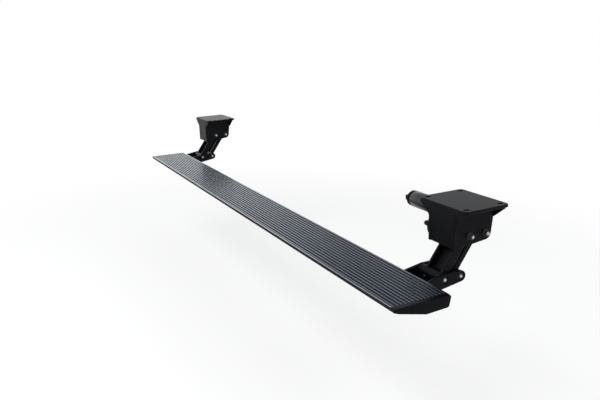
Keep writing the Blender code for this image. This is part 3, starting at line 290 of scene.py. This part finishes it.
def anodised():
    """Black anodised aluminium with die lines. The crowns of the ribs are worn smoother and
    lighter, the grooves and rib walls below them are darkened as painted shade, the top of the
    ridge at the outer edge carries a painted highlight, and the board's sides and underside are
    darker and hardly metallic."""
    mat, tree, shader = nodes_of("anodised_tread")
    coord = add(tree, "ShaderNodeTexCoord")
    split = add(tree, "ShaderNodeSeparateXYZ")
    tree.links.new(coord.outputs["Object"], split.inputs["Vector"])
    y, z = split.outputs["Y"], split.outputs["Z"]

    crown = fade(tree, z, TREAD - CROWN_FADE[0], TREAD - CROWN_FADE[1], smooth=True)
    ridge = fade(tree, y, EDGE + RIDGE_SHOULDER + RIDGE_FADE, EDGE + RIDGE_SHOULDER)
    # Mask of the painted highlight along the top of the outer ridge
    ridge_highlight_mask = maths(tree, "MULTIPLY", ridge, crown)
    tread = fade(tree, z, TREAD - TREAD_FADE[0], TREAD - TREAD_FADE[1], SIDE_METAL, TREAD_METAL)
    off = maths(tree, "ABSOLUTE", maths(tree, "SUBTRACT", y, EDGE + WIDTH / 2))
    flank = fade(tree, off, WIDTH / 2 - FLANK_FADE[0], WIDTH / 2 - FLANK_FADE[1], SIDE_METAL)
    top = maths(tree, "MINIMUM", tread, flank)

    cloud = grain(tree, 30.0, CLOUD_DETAIL, (0.12, 1.0, 1.0))
    # Painted shade: a darker colour in the grooves and on the rib walls below the crowns
    groove_shade = two_tone(tree, cloud, (0.012, 0.015, 0.020), (0.017, 0.021, 0.027))
    worn = two_tone(tree, cloud, (0.064, 0.083, 0.109), (0.088, 0.110, 0.141))
    # Painted highlight: a pale, nearly bare-metal colour along the top of the outer ridge
    ridge_highlight = two_tone(tree, cloud, (0.27, 0.29, 0.32), (0.38, 0.40, 0.43))
    side = two_tone(tree, cloud, (0.009, 0.0105, 0.014), (0.013, 0.015, 0.019))
    upper = mix_of(tree, ridge_highlight_mask, mix_of(tree, crown, groove_shade, worn), ridge_highlight)
    tree.links.new(mix_of(tree, top, side, upper), shader.inputs["Base Color"])
    tree.links.new(top, shader.inputs["Metallic"])
    shader.inputs["Specular IOR Level"].default_value = 0.03

    lines = grain(tree, 900.0, FINE_DETAIL, (0.02, 1.0, 1.0))
    rough = mix_of(tree, crown, span(tree, lines, 0.50, 0.60), span(tree, lines, 0.15, 0.21),
                   "FLOAT")
    tree.links.new(rough, shader.inputs["Roughness"])
    bump(tree, shader, lines, 0.10, 0.00008)
    return mat


FINISH = {
    "black_anodised_aluminium": anodised(),
    "black_coated_casting": finish_of(
        "powder_coated_casting", (0.0024, 0.0026, 0.0036), (0.0044, 0.0047, 0.0060), 0.0,
        (0.33, 0.45), colour_grain=40.0, bump_grain=650.0, bump_strength=0.35,
        bump_depth=0.00016, specular=0.07),
    "black_moulded_plastic": finish_of(
        "moulded_black_plastic", (0.0019, 0.0023, 0.0035), (0.0033, 0.0039, 0.0054), 0.0,
        (0.21, 0.30), colour_grain=25.0, bump_grain=1400.0, bump_strength=0.30,
        bump_depth=0.00008, specular=0.06),
    "black_phosphated_steel": finish_of(
        "phosphated_steel", (0.020, 0.020, 0.022), (0.045, 0.045, 0.048), 0.70,
        (0.38, 0.55), colour_grain=220.0, bump_grain=1500.0, bump_strength=0.2,
        bump_depth=0.00006),
    "zinc_plated_steel": finish_of(
        "zinc_plating", (0.37, 0.39, 0.42), (0.54, 0.55, 0.56), 1.0,
        (0.20, 0.34), colour_grain=160.0, bump_grain=1200.0, bump_strength=0.12,
        bump_depth=0.00006),
    "machined_steel": finish_of(
        "machined_steel", (0.34, 0.34, 0.35), (0.48, 0.48, 0.48), 1.0,
        (0.24, 0.38), colour_grain=120.0, bump_grain=900.0, bump_strength=0.15,
        bump_depth=0.00006, bump_stretch=(1.0, 0.06, 0.06)),
    "painted_motor_can": finish_of(
        "motor_paint", (0.013, 0.013, 0.015), (0.019, 0.019, 0.021), 0.0,
        (0.22, 0.32), colour_grain=50.0, bump_grain=900.0, bump_strength=0.12,
        bump_depth=0.00005, specular=0.4),
    "sleeve_bronze": finish_of(
        "sintered_bronze", (0.36, 0.23, 0.10), (0.52, 0.35, 0.17), 1.0,
        (0.34, 0.50), colour_grain=300.0, bump_grain=1600.0, bump_strength=0.35,
        bump_depth=0.00008),
    "black_rubber": finish_of(
        "moulded_rubber", (0.013, 0.013, 0.013), (0.022, 0.022, 0.021), 0.0,
        (0.70, 0.86), colour_grain=70.0, bump_grain=700.0, bump_strength=0.5,
        bump_depth=0.0002, specular=0.25),
}

for node_name, node in NODES.items():
    if not node.data.materials:
        node.data.materials.append(None)
    for i in range(len(node.data.materials)):
        node.data.materials[i] = FINISH[SLOT_OF[node_name]]


# Pieces
def piece(bm, node, name=None, replaces=True, sharp=40.0, slot=None):
    """Turns a bmesh into a piece that rides with a CAD node's body, in that node's finish unless
    another slot is named."""
    slot = slot or SLOT_OF[node]
    bmesh.ops.recalc_face_normals(bm, faces=bm.faces[:])
    mesh = bpy.data.meshes.new(name or f"{node}_look")
    bm.to_mesh(mesh)
    bm.free()
    mesh.materials.append(FINISH[slot])
    mesh.shade_smooth()
    mesh.set_sharp_from_angle(angle=math.radians(sharp))
    obj = bpy.data.objects.new(mesh.name, mesh)
    bpy.context.scene.collection.objects.link(obj)
    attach(obj, BODY_OF[node])
    if replaces:
        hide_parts(node)
    return obj


def soften(node, width):
    """The CAD node with its edges rounded, as a casting or moulding has them."""
    flat = math.radians(1.0)
    edge_angle = math.radians(40.0)
    bm = bmesh.new()
    bm.from_mesh(NODES[node].data)
    bmesh.ops.remove_doubles(bm, verts=bm.verts[:], dist=0.00002)
    bmesh.ops.dissolve_limit(bm, angle_limit=flat, verts=bm.verts[:], edges=bm.edges[:])
    edges = [edge for edge in bm.edges
             if len(edge.link_faces) == 2 and edge.calc_face_angle(0.0) > edge_angle]
    bmesh.ops.bevel(bm, geom=edges, offset=width, offset_type="OFFSET", segments=2, profile=0.5,
                    affect="EDGES", clamp_overlap=False)
    shading = piece(bm, node).modifiers.new("soft_shading", "WEIGHTED_NORMAL")
    shading.keep_sharp = True


def box_of(node):
    """A node's lowest and highest corners, and its middle."""
    low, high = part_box(node)
    return low, high, [(a + b) / 2 for a, b in zip(low, high)]


def hexagon(flats, grown=0.0):
    """Radius of a hexagon's outline as a function of the angle."""
    return lambda angle: flats / 2 / math.cos((angle % (math.pi / 3)) - math.pi / 6) + grown


def at_angle(entry, angle):
    """An entry of a profile, which may depend on the angle."""
    return entry(angle) if callable(entry) else entry


def round_axis(place, axis):
    """Places points by their distance along an axis, their radius and their angle round it."""
    turn = Vector(axis).to_track_quat("X", "Z").to_matrix()
    origin = Vector(place)
    return lambda along, radius, angle: origin + turn @ Vector(
        (along, radius * math.cos(angle), radius * math.sin(angle)))


def skin(bm, loops, bored=False):
    """Faces between neighbouring loops. Bored ones close on themselves, others end in flat
    faces."""
    pairs = list(zip(loops, loops[1:]))
    if bored:
        pairs.append((loops[-1], loops[0]))
    for a, b in pairs:
        for i in range(len(a)):
            j = (i + 1) % len(a)
            bm.faces.new((a[i], a[j], b[j], b[i]))
    if not bored:
        bm.faces.new(loops[0])
        bm.faces.new(loops[-1])


def add_rings(bm, place, axis, profile, steps, bored=False):
    """Revolves a profile of (along, radius). Either may depend on the angle."""
    at = round_axis(place, axis)
    angles = [2 * math.pi * i / steps for i in range(steps)]
    skin(bm, [[bm.verts.new(at(at_angle(along, a), at_angle(radius, a), a)) for a in angles]
              for along, radius in profile], bored)


def add_thread(bm, place, axis, start, end, thread):
    """A helical thread from start to end along the axis, run out at its tip."""
    radius, pitch = thread
    depth = pitch * THREAD_DEPTH
    rows = max(4, int((end - start) / pitch * THREAD_ROWS))
    at = round_axis(place, axis)
    loops = []
    for row in range(rows + 1):
        along = start + (end - start) * row / rows
        crest = min(1.0, (end - along) / pitch)
        loop = []
        for i in range(THREAD_STEPS):
            phase = (along / pitch - i / THREAD_STEPS) % 1.0
            r = radius - depth + depth * crest * (1.0 - abs(2.0 * phase - 1.0))
            loop.append(bm.verts.new(at(along, r, 2 * math.pi * i / THREAD_STEPS)))
        loops.append(loop)
    skin(bm, loops)


# Fasteners
ALONG = (1.0, 0.0, 0.0)
DOWN = (0.0, 0.0, -1.0)


def pivot_bolt(node, brim=0.0020, height=0.0070, proud=0.0030):
    """Button head with a hexagon socket, plain shoulder, threaded end. The brim and height are
    its nut's, and proud is how far it stands out of it."""
    low, high, (_, y, z) = box_of(node)
    head = BOLT_HEAD
    seat = low.x + BOLT_HEAD_HEIGHT
    shoulder = high.x - BOLT_TIP_GAP - brim - height - proud
    socket = hexagon(BOLT_SOCKET)
    place = (0.0, y, z)
    bm = bmesh.new()
    profile = [(low.x + 0.0026, 0.0004), (low.x + 0.0026, socket), (low.x + 0.0002, socket),
               (low.x, BOLT_SOCKET * 0.62), (low.x, head * 0.62), (low.x + 0.0007, head * 0.78),
               (low.x + 0.0018, head * 0.92), (low.x + 0.0032, head * 0.995),
               (low.x + 0.0044, head), (seat, head), (seat, BOLT_SHANK),
               (shoulder - 0.0005, BOLT_SHANK), (shoulder, 0.0055), (shoulder, 0.0032)]
    add_rings(bm, place, ALONG, profile, 48)
    add_thread(bm, place, ALONG, shoulder - 0.0005, high.x, M8)
    piece(bm, node)


def flange_nut(node, drop=False, brim=0.0020, height=0.0070):
    """Hexagon nut with chamfered corners on a round flange. It lies along X, or hangs down."""
    low, high, (x, y, z) = box_of(node)
    place, axis, seat = ((x, y, 0.0), DOWN, -high.z) if drop else ((0.0, y, z), ALONG, low.x)
    flats = hexagon(NUT_FLATS)
    top = seat + brim + height
    slope = math.tan(NUT_CHAMFER)
    crown = NUT_FLATS * NUT_CROWN
    profile = [(seat, NUT_BORE + 0.0004), (seat, 0.0088), (seat + brim * 0.2, 0.0090),
               (seat + brim * 0.6, 0.0090), (seat + brim, 0.0082),
               (seat + brim + 0.0002, hexagon(NUT_FLATS, 0.0002)), (seat + brim + 0.0005, flats),
               (lambda a: top - (flats(a) - crown) * slope, flats), (top, crown),
               (top, NUT_BORE + 0.0005), (top - 0.0006, NUT_BORE)]
    bm = bmesh.new()
    add_rings(bm, place, axis, profile, 48, bored=True)
    piece(bm, node)


def t_bolt(node):
    """Square head with rounded edges, shank and thread below it. The head is made last, because
    a bevel leaves gaps that later faces would fill in another order each run."""
    low, high, (x, y, _) = box_of(node)
    head = high.z - T_HEAD_HEIGHT
    half = (high.x - low.x) / 2
    place = (x, y, 0.0)
    radius = M8[0]
    thread_top = -low.z - T_THREAD_LENGTH
    shank = [(-head - 0.0010, radius), (thread_top, radius), (thread_top + 0.0004, 0.0033)]
    bm = bmesh.new()
    add_rings(bm, place, DOWN, shank, THREAD_STEPS)
    add_thread(bm, place, DOWN, thread_top, -low.z, M8)
    corners = bmesh.ops.create_cube(bm, size=1.0)["verts"]
    for vert in corners:
        vert.co = Vector((x + vert.co.x * 2 * half, y + vert.co.y * 2 * half,
                          (head + high.z) / 2 + vert.co.z * (high.z - head)))
    edges = [edge for edge in bm.edges if edge.verts[0] in corners]
    bmesh.ops.bevel(bm, geom=edges, offset=T_HEAD_ROUND, segments=3, profile=0.5, affect="EDGES")
    piece(bm, node)


def socket_screw(node):
    """Socket head screw with a knurled head. The head is on its -X side."""
    low, high, (_, y, z) = box_of(node)
    head = SCREW_HEAD
    seat = low.x + SCREW_HEAD_HEIGHT
    socket = hexagon(SCREW_SOCKET)
    place = (0.0, y, z)
    radius = M5[0]

    def knurl(angle):
        return head - KNURL_DEPTH * (1.0 + math.sin(angle * KNURL_TEETH))

    profile = [(low.x + 0.0020, 0.0003), (low.x + 0.0020, socket), (low.x + 0.0002, socket),
               (low.x, SCREW_SOCKET * 0.63), (low.x, head - 0.0006),
               (low.x + 0.0005, head - 0.0001), (low.x + 0.0009, knurl), (seat - 0.0003, knurl),
               (seat, head - 0.0004), (seat, radius), (seat + 0.0010, radius),
               (seat + 0.0012, 0.0019)]
    bm = bmesh.new()
    add_rings(bm, place, ALONG, profile, 96)
    add_thread(bm, place, ALONG, seat + 0.0010, high.x, M5)
    piece(bm, node)


def lock_screw(end):
    """Small socket set screw in the outer side of a main arm's lower barrel."""
    _, _, (x, y, z) = box_of(f"lower_main_bolt_{end}")
    out = Vector((0.0, -math.cos(LOCK_TILT), math.sin(LOCK_TILT)))
    base = Vector((x - LOCK_ASIDE, y, z)) + out * LOCK_OUT
    profile = [(0.0, 0.0026), (0.0032, 0.0026), (0.0036, 0.0022), (0.0036, 0.0015),
               (0.0022, 0.0013), (0.0022, 0.0002)]
    bm = bmesh.new()
    add_rings(bm, base, out, profile, 24)
    piece(bm, f"main_arm_{end}", name=f"lock_screw_{end}", replaces=False,
          slot="zinc_plated_steel")


# Board
def rounded(points, radii, steps):
    """Rounds the corners of an outline. Radii maps a corner's number to its radius."""
    made = []
    count = len(points)
    for i, here in enumerate(points):
        radius = radii.get(i, 0.0)
        if radius <= 0.0:
            made.append(here)
            continue
        corner = Vector(here)
        to_last = Vector(points[i - 1]) - corner
        to_next = Vector(points[(i + 1) % count]) - corner
        half = to_last.angle(to_next) / 2
        reach = min(radius / math.tan(half), to_last.length * 0.49, to_next.length * 0.49)
        start = corner + to_last.normalized() * reach
        end = corner + to_next.normalized() * reach
        for k in range(steps + 1):
            t = k / steps
            point = start * (1 - t) ** 2 + corner * 2 * t * (1 - t) + end * t ** 2
            made.append((point.x, point.y))
    return made


def underside(y):
    """Height of the sloping belly, and of the flat keel behind it."""
    low = -NOSE_HEIGHT - CHIN_DROP
    if y >= KEEL_START:
        return -DEPTH
    return low - (y - CHIN_WIDTH) / (KEEL_START - CHIN_WIDTH) * (DEPTH + low)


def lower_points(back_round=BACK_ROUND):
    """Nose, chin, keel and back, from the top of the nose to the top of the back."""
    points = [(0.0, 0.0), (0.0, -NOSE_HEIGHT), (CHIN_WIDTH, underside(CHIN_WIDTH)),
              (KEEL_START, -DEPTH), (WIDTH, -DEPTH), (WIDTH, 0.0)]
    radii = (RIDGE_ROUND, NOSE_ROUND, CHIN_ROUND, BELLY_ROUND, KEEL_ROUND, back_round)
    return rounded(points, dict(enumerate(radii)), CORNER_STEPS)


def rib_points():
    """Ribs with flat grooves between them, from the inner edge to the ridge at the outer edge.
    The innermost rib has no flank on its inner side, where it joins the strip along that edge."""
    half = RIB_FOOT / 2
    points = []
    for i in reversed(range(RIBS)):
        centre = RIB_FIRST + i * RIB_PITCH
        for k in range(0 if i == RIBS - 1 else -RIB_STEPS, RIB_STEPS + 1):
            u = math.sin(math.pi / 2 * k / RIB_STEPS)
            points.append((centre - u * half, -RIB_HEIGHT * abs(u) ** RIB_SQUARENESS))
    foot = RIB_FIRST - half
    for share, depth in RIDGE_FLANK:
        points.append((foot + (RIDGE_SHOULDER - foot) * share, -RIB_HEIGHT * depth))
    return points


def slot_points():
    """T-slot in the keel, from its outer lip to its inner one."""
    mouth = SLOT_MOUTH / 2
    room = SLOT_ROOM_WIDTH / 2
    y = SLOT_MIDDLE
    bottom = -DEPTH + SLOT_LIP
    top = bottom + SLOT_ROOM_HEIGHT
    points = [(y - mouth, -DEPTH), (y - mouth, bottom), (y - room, bottom), (y - room, top),
              (y + room, top), (y + room, bottom), (y + mouth, bottom), (y + mouth, -DEPTH)]
    return rounded(points, {i: SLOT_ROUND for i in range(len(points))}, SLOT_STEPS)


def chambers():
    """The four hollows: two under the belly, one above the slot and one behind it."""
    ceiling = -RIB_HEIGHT - DECK
    left = SLOT_MIDDLE - SLOT_ROOM_WIDTH / 2 - WEB
    right = SLOT_MIDDLE + SLOT_ROOM_WIDTH / 2 + WEB
    top = -DEPTH + SLOT_LIP + SLOT_ROOM_HEIGHT + WEB
    base = -DEPTH + SKIN
    first = CHIN_WIDTH + SKIN
    middle = (first + left) / 2
    wall = WIDTH - SKIN
    rise = SKIN * SLOPE_RISE
    return [[(first, underside(first) + rise), (middle - WEB / 2, underside(middle) + rise),
             (middle - WEB / 2, ceiling), (first, ceiling)],
            [(middle + WEB / 2, underside(middle + WEB / 2) + rise), (KEEL_START, base),
             (left, base), (left, ceiling), (middle + WEB / 2, ceiling)],
            [(left + WEB, top), (right - WEB, top), (right - WEB, ceiling), (left + WEB, ceiling)],
            [(right, base), (wall - KEEL_ROUND / 2, base), (wall, base + KEEL_ROUND / 2),
             (wall, ceiling), (right, ceiling)]]


def add_extrusion(bm, outlines, x0, x1):
    """An outline with holes, drawn along X."""
    points = []
    loops = []
    for outline in outlines:
        first = len(points)
        points += [Vector(p) for p in outline]
        loops.append(list(range(first, len(points))))
    edges = [(loop[i], loop[(i + 1) % len(loop)]) for loop in loops for i in range(len(loop))]
    flat, _, faces, _, _, _ = delaunay_2d_cdt(points, edges, [], 0, 1e-7)
    inside = []
    for face in faces:
        middle = sum((flat[i] for i in face), Vector((0.0, 0.0))) / len(face)
        crossings = 0
        for a, b in edges:
            p, q = points[a], points[b]
            if (p.y > middle.y) != (q.y > middle.y):
                if middle.x < p.x + (middle.y - p.y) / (q.y - p.y) * (q.x - p.x):
                    crossings += 1
        if crossings % 2:
            inside.append(face)
    rows = [[bm.verts.new((x, EDGE + p.x, TREAD + p.y)) for p in points] for x in (x0, x1)]
    for face in inside:
        bm.faces.new([rows[0][i] for i in face])
        bm.faces.new([rows[1][i] for i in reversed(face)])
    for a, b in edges:
        bm.faces.new((rows[0][a], rows[0][b], rows[1][b], rows[1][a]))


def board():
    """The ribbed hollow extrusion."""
    low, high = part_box("board_extrusion")
    lower = lower_points()
    cut = next(i for i, p in enumerate(lower) if p[0] > SLOT_MIDDLE)
    outline = lower[:cut] + slot_points() + lower[cut:] + rib_points()
    bm = bmesh.new()
    add_extrusion(bm, [outline] + chambers(), low.x, high.x)
    piece(bm, "board_extrusion", sharp=28.0)


def inset(points, distance):
    """An outline drawn in by a distance, kept the same number of points."""
    made = []
    count = len(points)
    for i in range(count):
        here = Vector(points[i])
        into = (here - Vector(points[i - 1])).normalized()
        out = (Vector(points[(i + 1) % count]) - here).normalized()
        normal = (Vector((-into.y, into.x)) + Vector((-out.y, out.x))).normalized()
        share = max(normal.dot(Vector((-out.y, out.x))), 0.5)
        made.append(tuple(here + normal * distance / share))
    return made


def drafted(points, share):
    """The cap's outline part way to its face: the inner side leans in and its foot rises."""
    made = []
    for y, z in points:
        along = max(0.0, (y - KEEL_START) / KEEL_WIDTH) * min(1.0, -z / DEPTH)
        made.append((y - CAP_LEAN * along * share, z + CAP_LIFT * along * share))
    return made


def end_cap(node, side):
    """Moulded cap: a fine step at the joint, drafted sides, an inner upper corner that grows
    rounder towards the face, and a rounded rim."""
    low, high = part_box(node)
    outer = high.x if side > 0 else low.x
    outline = lower_points()
    softer = lower_points(CAP_CORNER)
    rows = [(CAP_THICKNESS, CAP_STEP), (CAP_THICKNESS - CAP_STEP, 0.0),
            (CAP_THICKNESS * CAP_STRAIGHT, 0.0)]
    for k in range(CAP_RIM_STEPS + 1):
        angle = math.pi / 2 * k / CAP_RIM_STEPS
        rows.append((CAP_RIM * (1 - math.sin(angle)), CAP_RIM_INSET * (1 - math.cos(angle))))
    bm = bmesh.new()
    loops = []
    for back, drawn in rows:
        share = 1.0 - back / CAP_THICKNESS
        ring = [(y0 + (y1 - y0) * share, z0 + (z1 - z0) * share)
                for (y0, z0), (y1, z1) in zip(outline, softer)]
        ring = drafted(ring, share)
        if drawn > 0.0:
            ring = inset(ring, drawn)
        loops.append([bm.verts.new((outer - side * back, EDGE + y, TREAD + z)) for y, z in ring])
    skin(bm, loops)
    piece(bm, node, sharp=35.0)


def motor_can():
    """Drawn can with rolled steps at its ends and crimps that hold the end cap."""
    low, high, (_, y, z) = box_of("motor_can")
    start, end = high.x, low.x
    radius = (high.z - low.z) / 2
    step = radius - CAN_STEP

    def crimped(depth):
        def at(angle):
            near = abs((angle / (2 * math.pi / CRIMPS)) % 1.0 - 0.5) * 2.0
            return step - depth * max(0.0, 1.0 - (near / CRIMP_WIDTH) ** 2)
        return at

    profile = [(end, step - 0.0005), (end + 0.0003, step - 0.0001), (end + 0.0006, step),
               (end + 0.0012, crimped(0.0)), (end + 0.0017, crimped(0.0005)),
               (end + 0.0022, crimped(0.0007)), (end + 0.0027, crimped(0.0005)),
               (end + 0.0032, crimped(0.0)), (end + 0.0040, step), (end + 0.0044, step + 0.0002),
               (end + 0.0048, step + 0.0007), (end + 0.0052, radius - 0.0002),
               (end + 0.0058, radius), (start - 0.0066, radius), (start - 0.0060, radius - 0.0002),
               (start - 0.0056, step + 0.0007), (start - 0.0052, step + 0.0002),
               (start - 0.0048, step), (start - 0.0006, step), (start, step - 0.0005)]
    bm = bmesh.new()
    add_rings(bm, (0.0, y, z), ALONG, profile, 144)
    piece(bm, "motor_can", sharp=50.0)


board()
end_cap("end_cap_front", 1)
end_cap("end_cap_rear", -1)
for end in ENDS:
    for kind, width in (("mounting_bracket", 0.0007), ("step_bracket", 0.0007),
                        ("main_arm", 0.0007), ("idler_arm", 0.0007), ("bump_stop", 0.0010)):
        soften(f"{kind}_{end}", width)
    for tag in "ab":
        t_bolt(f"t_bolt_{end}_{tag}")
        flange_nut(f"t_bolt_nut_{end}_{tag}", drop=True)
    for spot in ("lower_main", "lower_idler"):
        pivot_bolt(f"{spot}_bolt_{end}", brim=0.0010, height=0.0030, proud=0.0008)
        flange_nut(f"{spot}_nut_{end}", brim=0.0010, height=0.0030)
    pivot_bolt(f"upper_idler_bolt_{end}")
    flange_nut(f"upper_idler_nut_{end}")
    lock_screw(end)
pivot_bolt("upper_main_bolt_rear")
flange_nut("upper_main_nut_rear")
flange_nut("drive_shaft_nut")
for tag in "abc":
    socket_screw(f"case_screw_{tag}")
    socket_screw(f"gearbox_screw_{tag}")
soften("gear_case", 0.0006)
soften("gearbox_housing", 0.0006)
soften("motor_end_cap", 0.0005)
motor_can()


# Studio
def seen_or_mirrored(tree):
    """One for rays from the camera, and for those that metal and glass send on."""
    path = add(tree, "ShaderNodeLightPath").outputs
    both = maths(tree, "MAXIMUM", path["Is Camera Ray"], path["Is Glossy Ray"])
    return maths(tree, "MAXIMUM", both, path["Is Transmission Ray"])


def mix_shaders(tree, factor, first, second):
    """Goes from the first shader to the second as the factor grows."""
    node = add(tree, "ShaderNodeMixShader")
    for socket, source in zip(node.inputs, (factor, first, second)):
        tree.links.new(source, socket)
    return node.outputs[0]


def floor():
    """A pale floor that catches the object's shadow and runs out into plain white."""
    mat = bpy.data.materials.new("studio_floor")
    mat.use_nodes = True
    tree = mat.node_tree
    tree.nodes.clear()
    plain = add(tree, "ShaderNodeBsdfDiffuse", Color=(0.80, 0.80, 0.80, 1.0)).outputs[0]
    shaded = add(tree, "ShaderNodeBsdfDiffuse", Color=(0.50, 0.50, 0.50, 1.0)).outputs[0]
    lift = add(tree, "ShaderNodeEmission", Color=WHITE, Strength=0.52).outputs[0]
    white = add(tree, "ShaderNodeEmission", Color=WHITE, Strength=1.0).outputs[0]
    near = add(tree, "ShaderNodeAddShader")
    tree.links.new(shaded, near.inputs[0])
    tree.links.new(lift, near.inputs[1])
    centre = (CAD_LOW + CAD_HIGH) / 2
    coord = add(tree, "ShaderNodeTexCoord")
    mapping = add(tree, "ShaderNodeMapping", Scale=(FLOOR_STRETCH, 1.0, 0.0),
                  Location=(-centre.x * FLOOR_STRETCH, -centre.y, 0.0))
    tree.links.new(coord.outputs["Object"], mapping.inputs["Vector"])
    length = add(tree, "ShaderNodeVectorMath", operation="LENGTH")
    tree.links.new(mapping.outputs["Vector"], length.inputs[0])
    away = fade(tree, length.outputs["Value"], *FLOOR_FADE, smooth=True)
    bright = mix_shaders(tree, away, near.outputs[0], white)
    out = add(tree, "ShaderNodeOutputMaterial")
    tree.links.new(mix_shaders(tree, seen_or_mirrored(tree), plain, bright),
                   out.inputs["Surface"])
    level = CAD_LOW.z - FLOOR_BELOW
    bm = bmesh.new()
    bm.faces.new([bm.verts.new((sx * FLOOR_REACH, sy * FLOOR_REACH, level))
                  for sx, sy in ((-1, -1), (1, -1), (1, 1), (-1, 1))])
    mesh = bpy.data.meshes.new("floor")
    bm.to_mesh(mesh)
    bm.free()
    mesh.materials.append(mat)
    obj = bpy.data.objects.new("floor", mesh)
    bpy.context.scene.collection.objects.link(obj)


def world():
    """White all round the horizon for what is seen or mirrored, with grey overhead, and a plain
    level for the light that falls on the object."""
    sky = bpy.data.worlds.new("studio")
    bpy.context.scene.world = sky
    sky.use_nodes = True
    tree = sky.node_tree
    tree.nodes.clear()
    coord = add(tree, "ShaderNodeTexCoord")
    split = add(tree, "ShaderNodeSeparateXYZ")
    tree.links.new(coord.outputs["Generated"], split.inputs["Vector"])
    seen = add(tree, "ShaderNodeBackground", Strength=1.0)
    tree.links.new(ramp(tree, split.outputs["Z"], DOME), seen.inputs["Color"])
    lit = add(tree, "ShaderNodeBackground", Color=(0.97, 0.985, 1.0, 1.0), Strength=0.55)
    out = add(tree, "ShaderNodeOutputWorld")
    tree.links.new(mix_shaders(tree, seen_or_mirrored(tree), lit.outputs[0], seen.outputs[0]),
                   out.inputs["Surface"])


def lamp(name, place, target, size, power):
    """A soft rectangular lamp that looks at a target."""
    data = bpy.data.lights.new(name, "AREA")
    data.shape = "RECTANGLE"
    data.size, data.size_y = size
    data.energy = power
    obj = bpy.data.objects.new(name, data)
    obj.location = place
    aim = Vector(target) - Vector(place)
    obj.rotation_euler = aim.to_track_quat("-Z", "Y").to_euler()
    obj.visible_camera = False
    bpy.context.scene.collection.objects.link(obj)


def camera():
    """The photograph's viewpoint: place, compass angle, tilt, roll and lens as solved from the
    board's corners in it."""
    back = Vector((math.sin(CAMERA_TURN) * math.cos(CAMERA_TILT),
                   -math.cos(CAMERA_TURN) * math.cos(CAMERA_TILT), math.sin(CAMERA_TILT)))
    right = (-back).cross(Vector((0.0, 0.0, 1.0))).normalized()
    up = right.cross(-back)
    across_view = right * math.cos(CAMERA_ROLL) + up * math.sin(CAMERA_ROLL)
    up_view = up * math.cos(CAMERA_ROLL) - right * math.sin(CAMERA_ROLL)
    data = bpy.data.cameras.new("camera")
    data.sensor_width = 36.0
    data.sensor_fit = "HORIZONTAL"
    data.lens = CAMERA_LENS
    data.clip_start = 0.01
    obj = bpy.data.objects.new("camera", data)
    axes = Matrix((across_view, up_view, back)).transposed()
    obj.matrix_world = Matrix.Translation(CAMERA_PLACE) @ axes.to_4x4()
    bpy.context.scene.collection.objects.link(obj)
    bpy.context.scene.camera = obj


floor()
world()
lamp("key", place=(-0.6, -2.4, 2.4), target=(-0.9, -0.1, -0.2), size=(3.6, 2.2), power=64.0)
lamp("fill", place=(1.8, 0.9, 1.6), target=(-0.3, -0.1, -0.2), size=(2.2, 1.8), power=22.0)
lamp("low", place=(-4.4, 0.35, 0.62), target=(-1.0, -0.2, -0.16), size=(3.0, 1.8), power=11.0)
camera()
bpy.context.scene.view_settings.view_transform = "Standard"
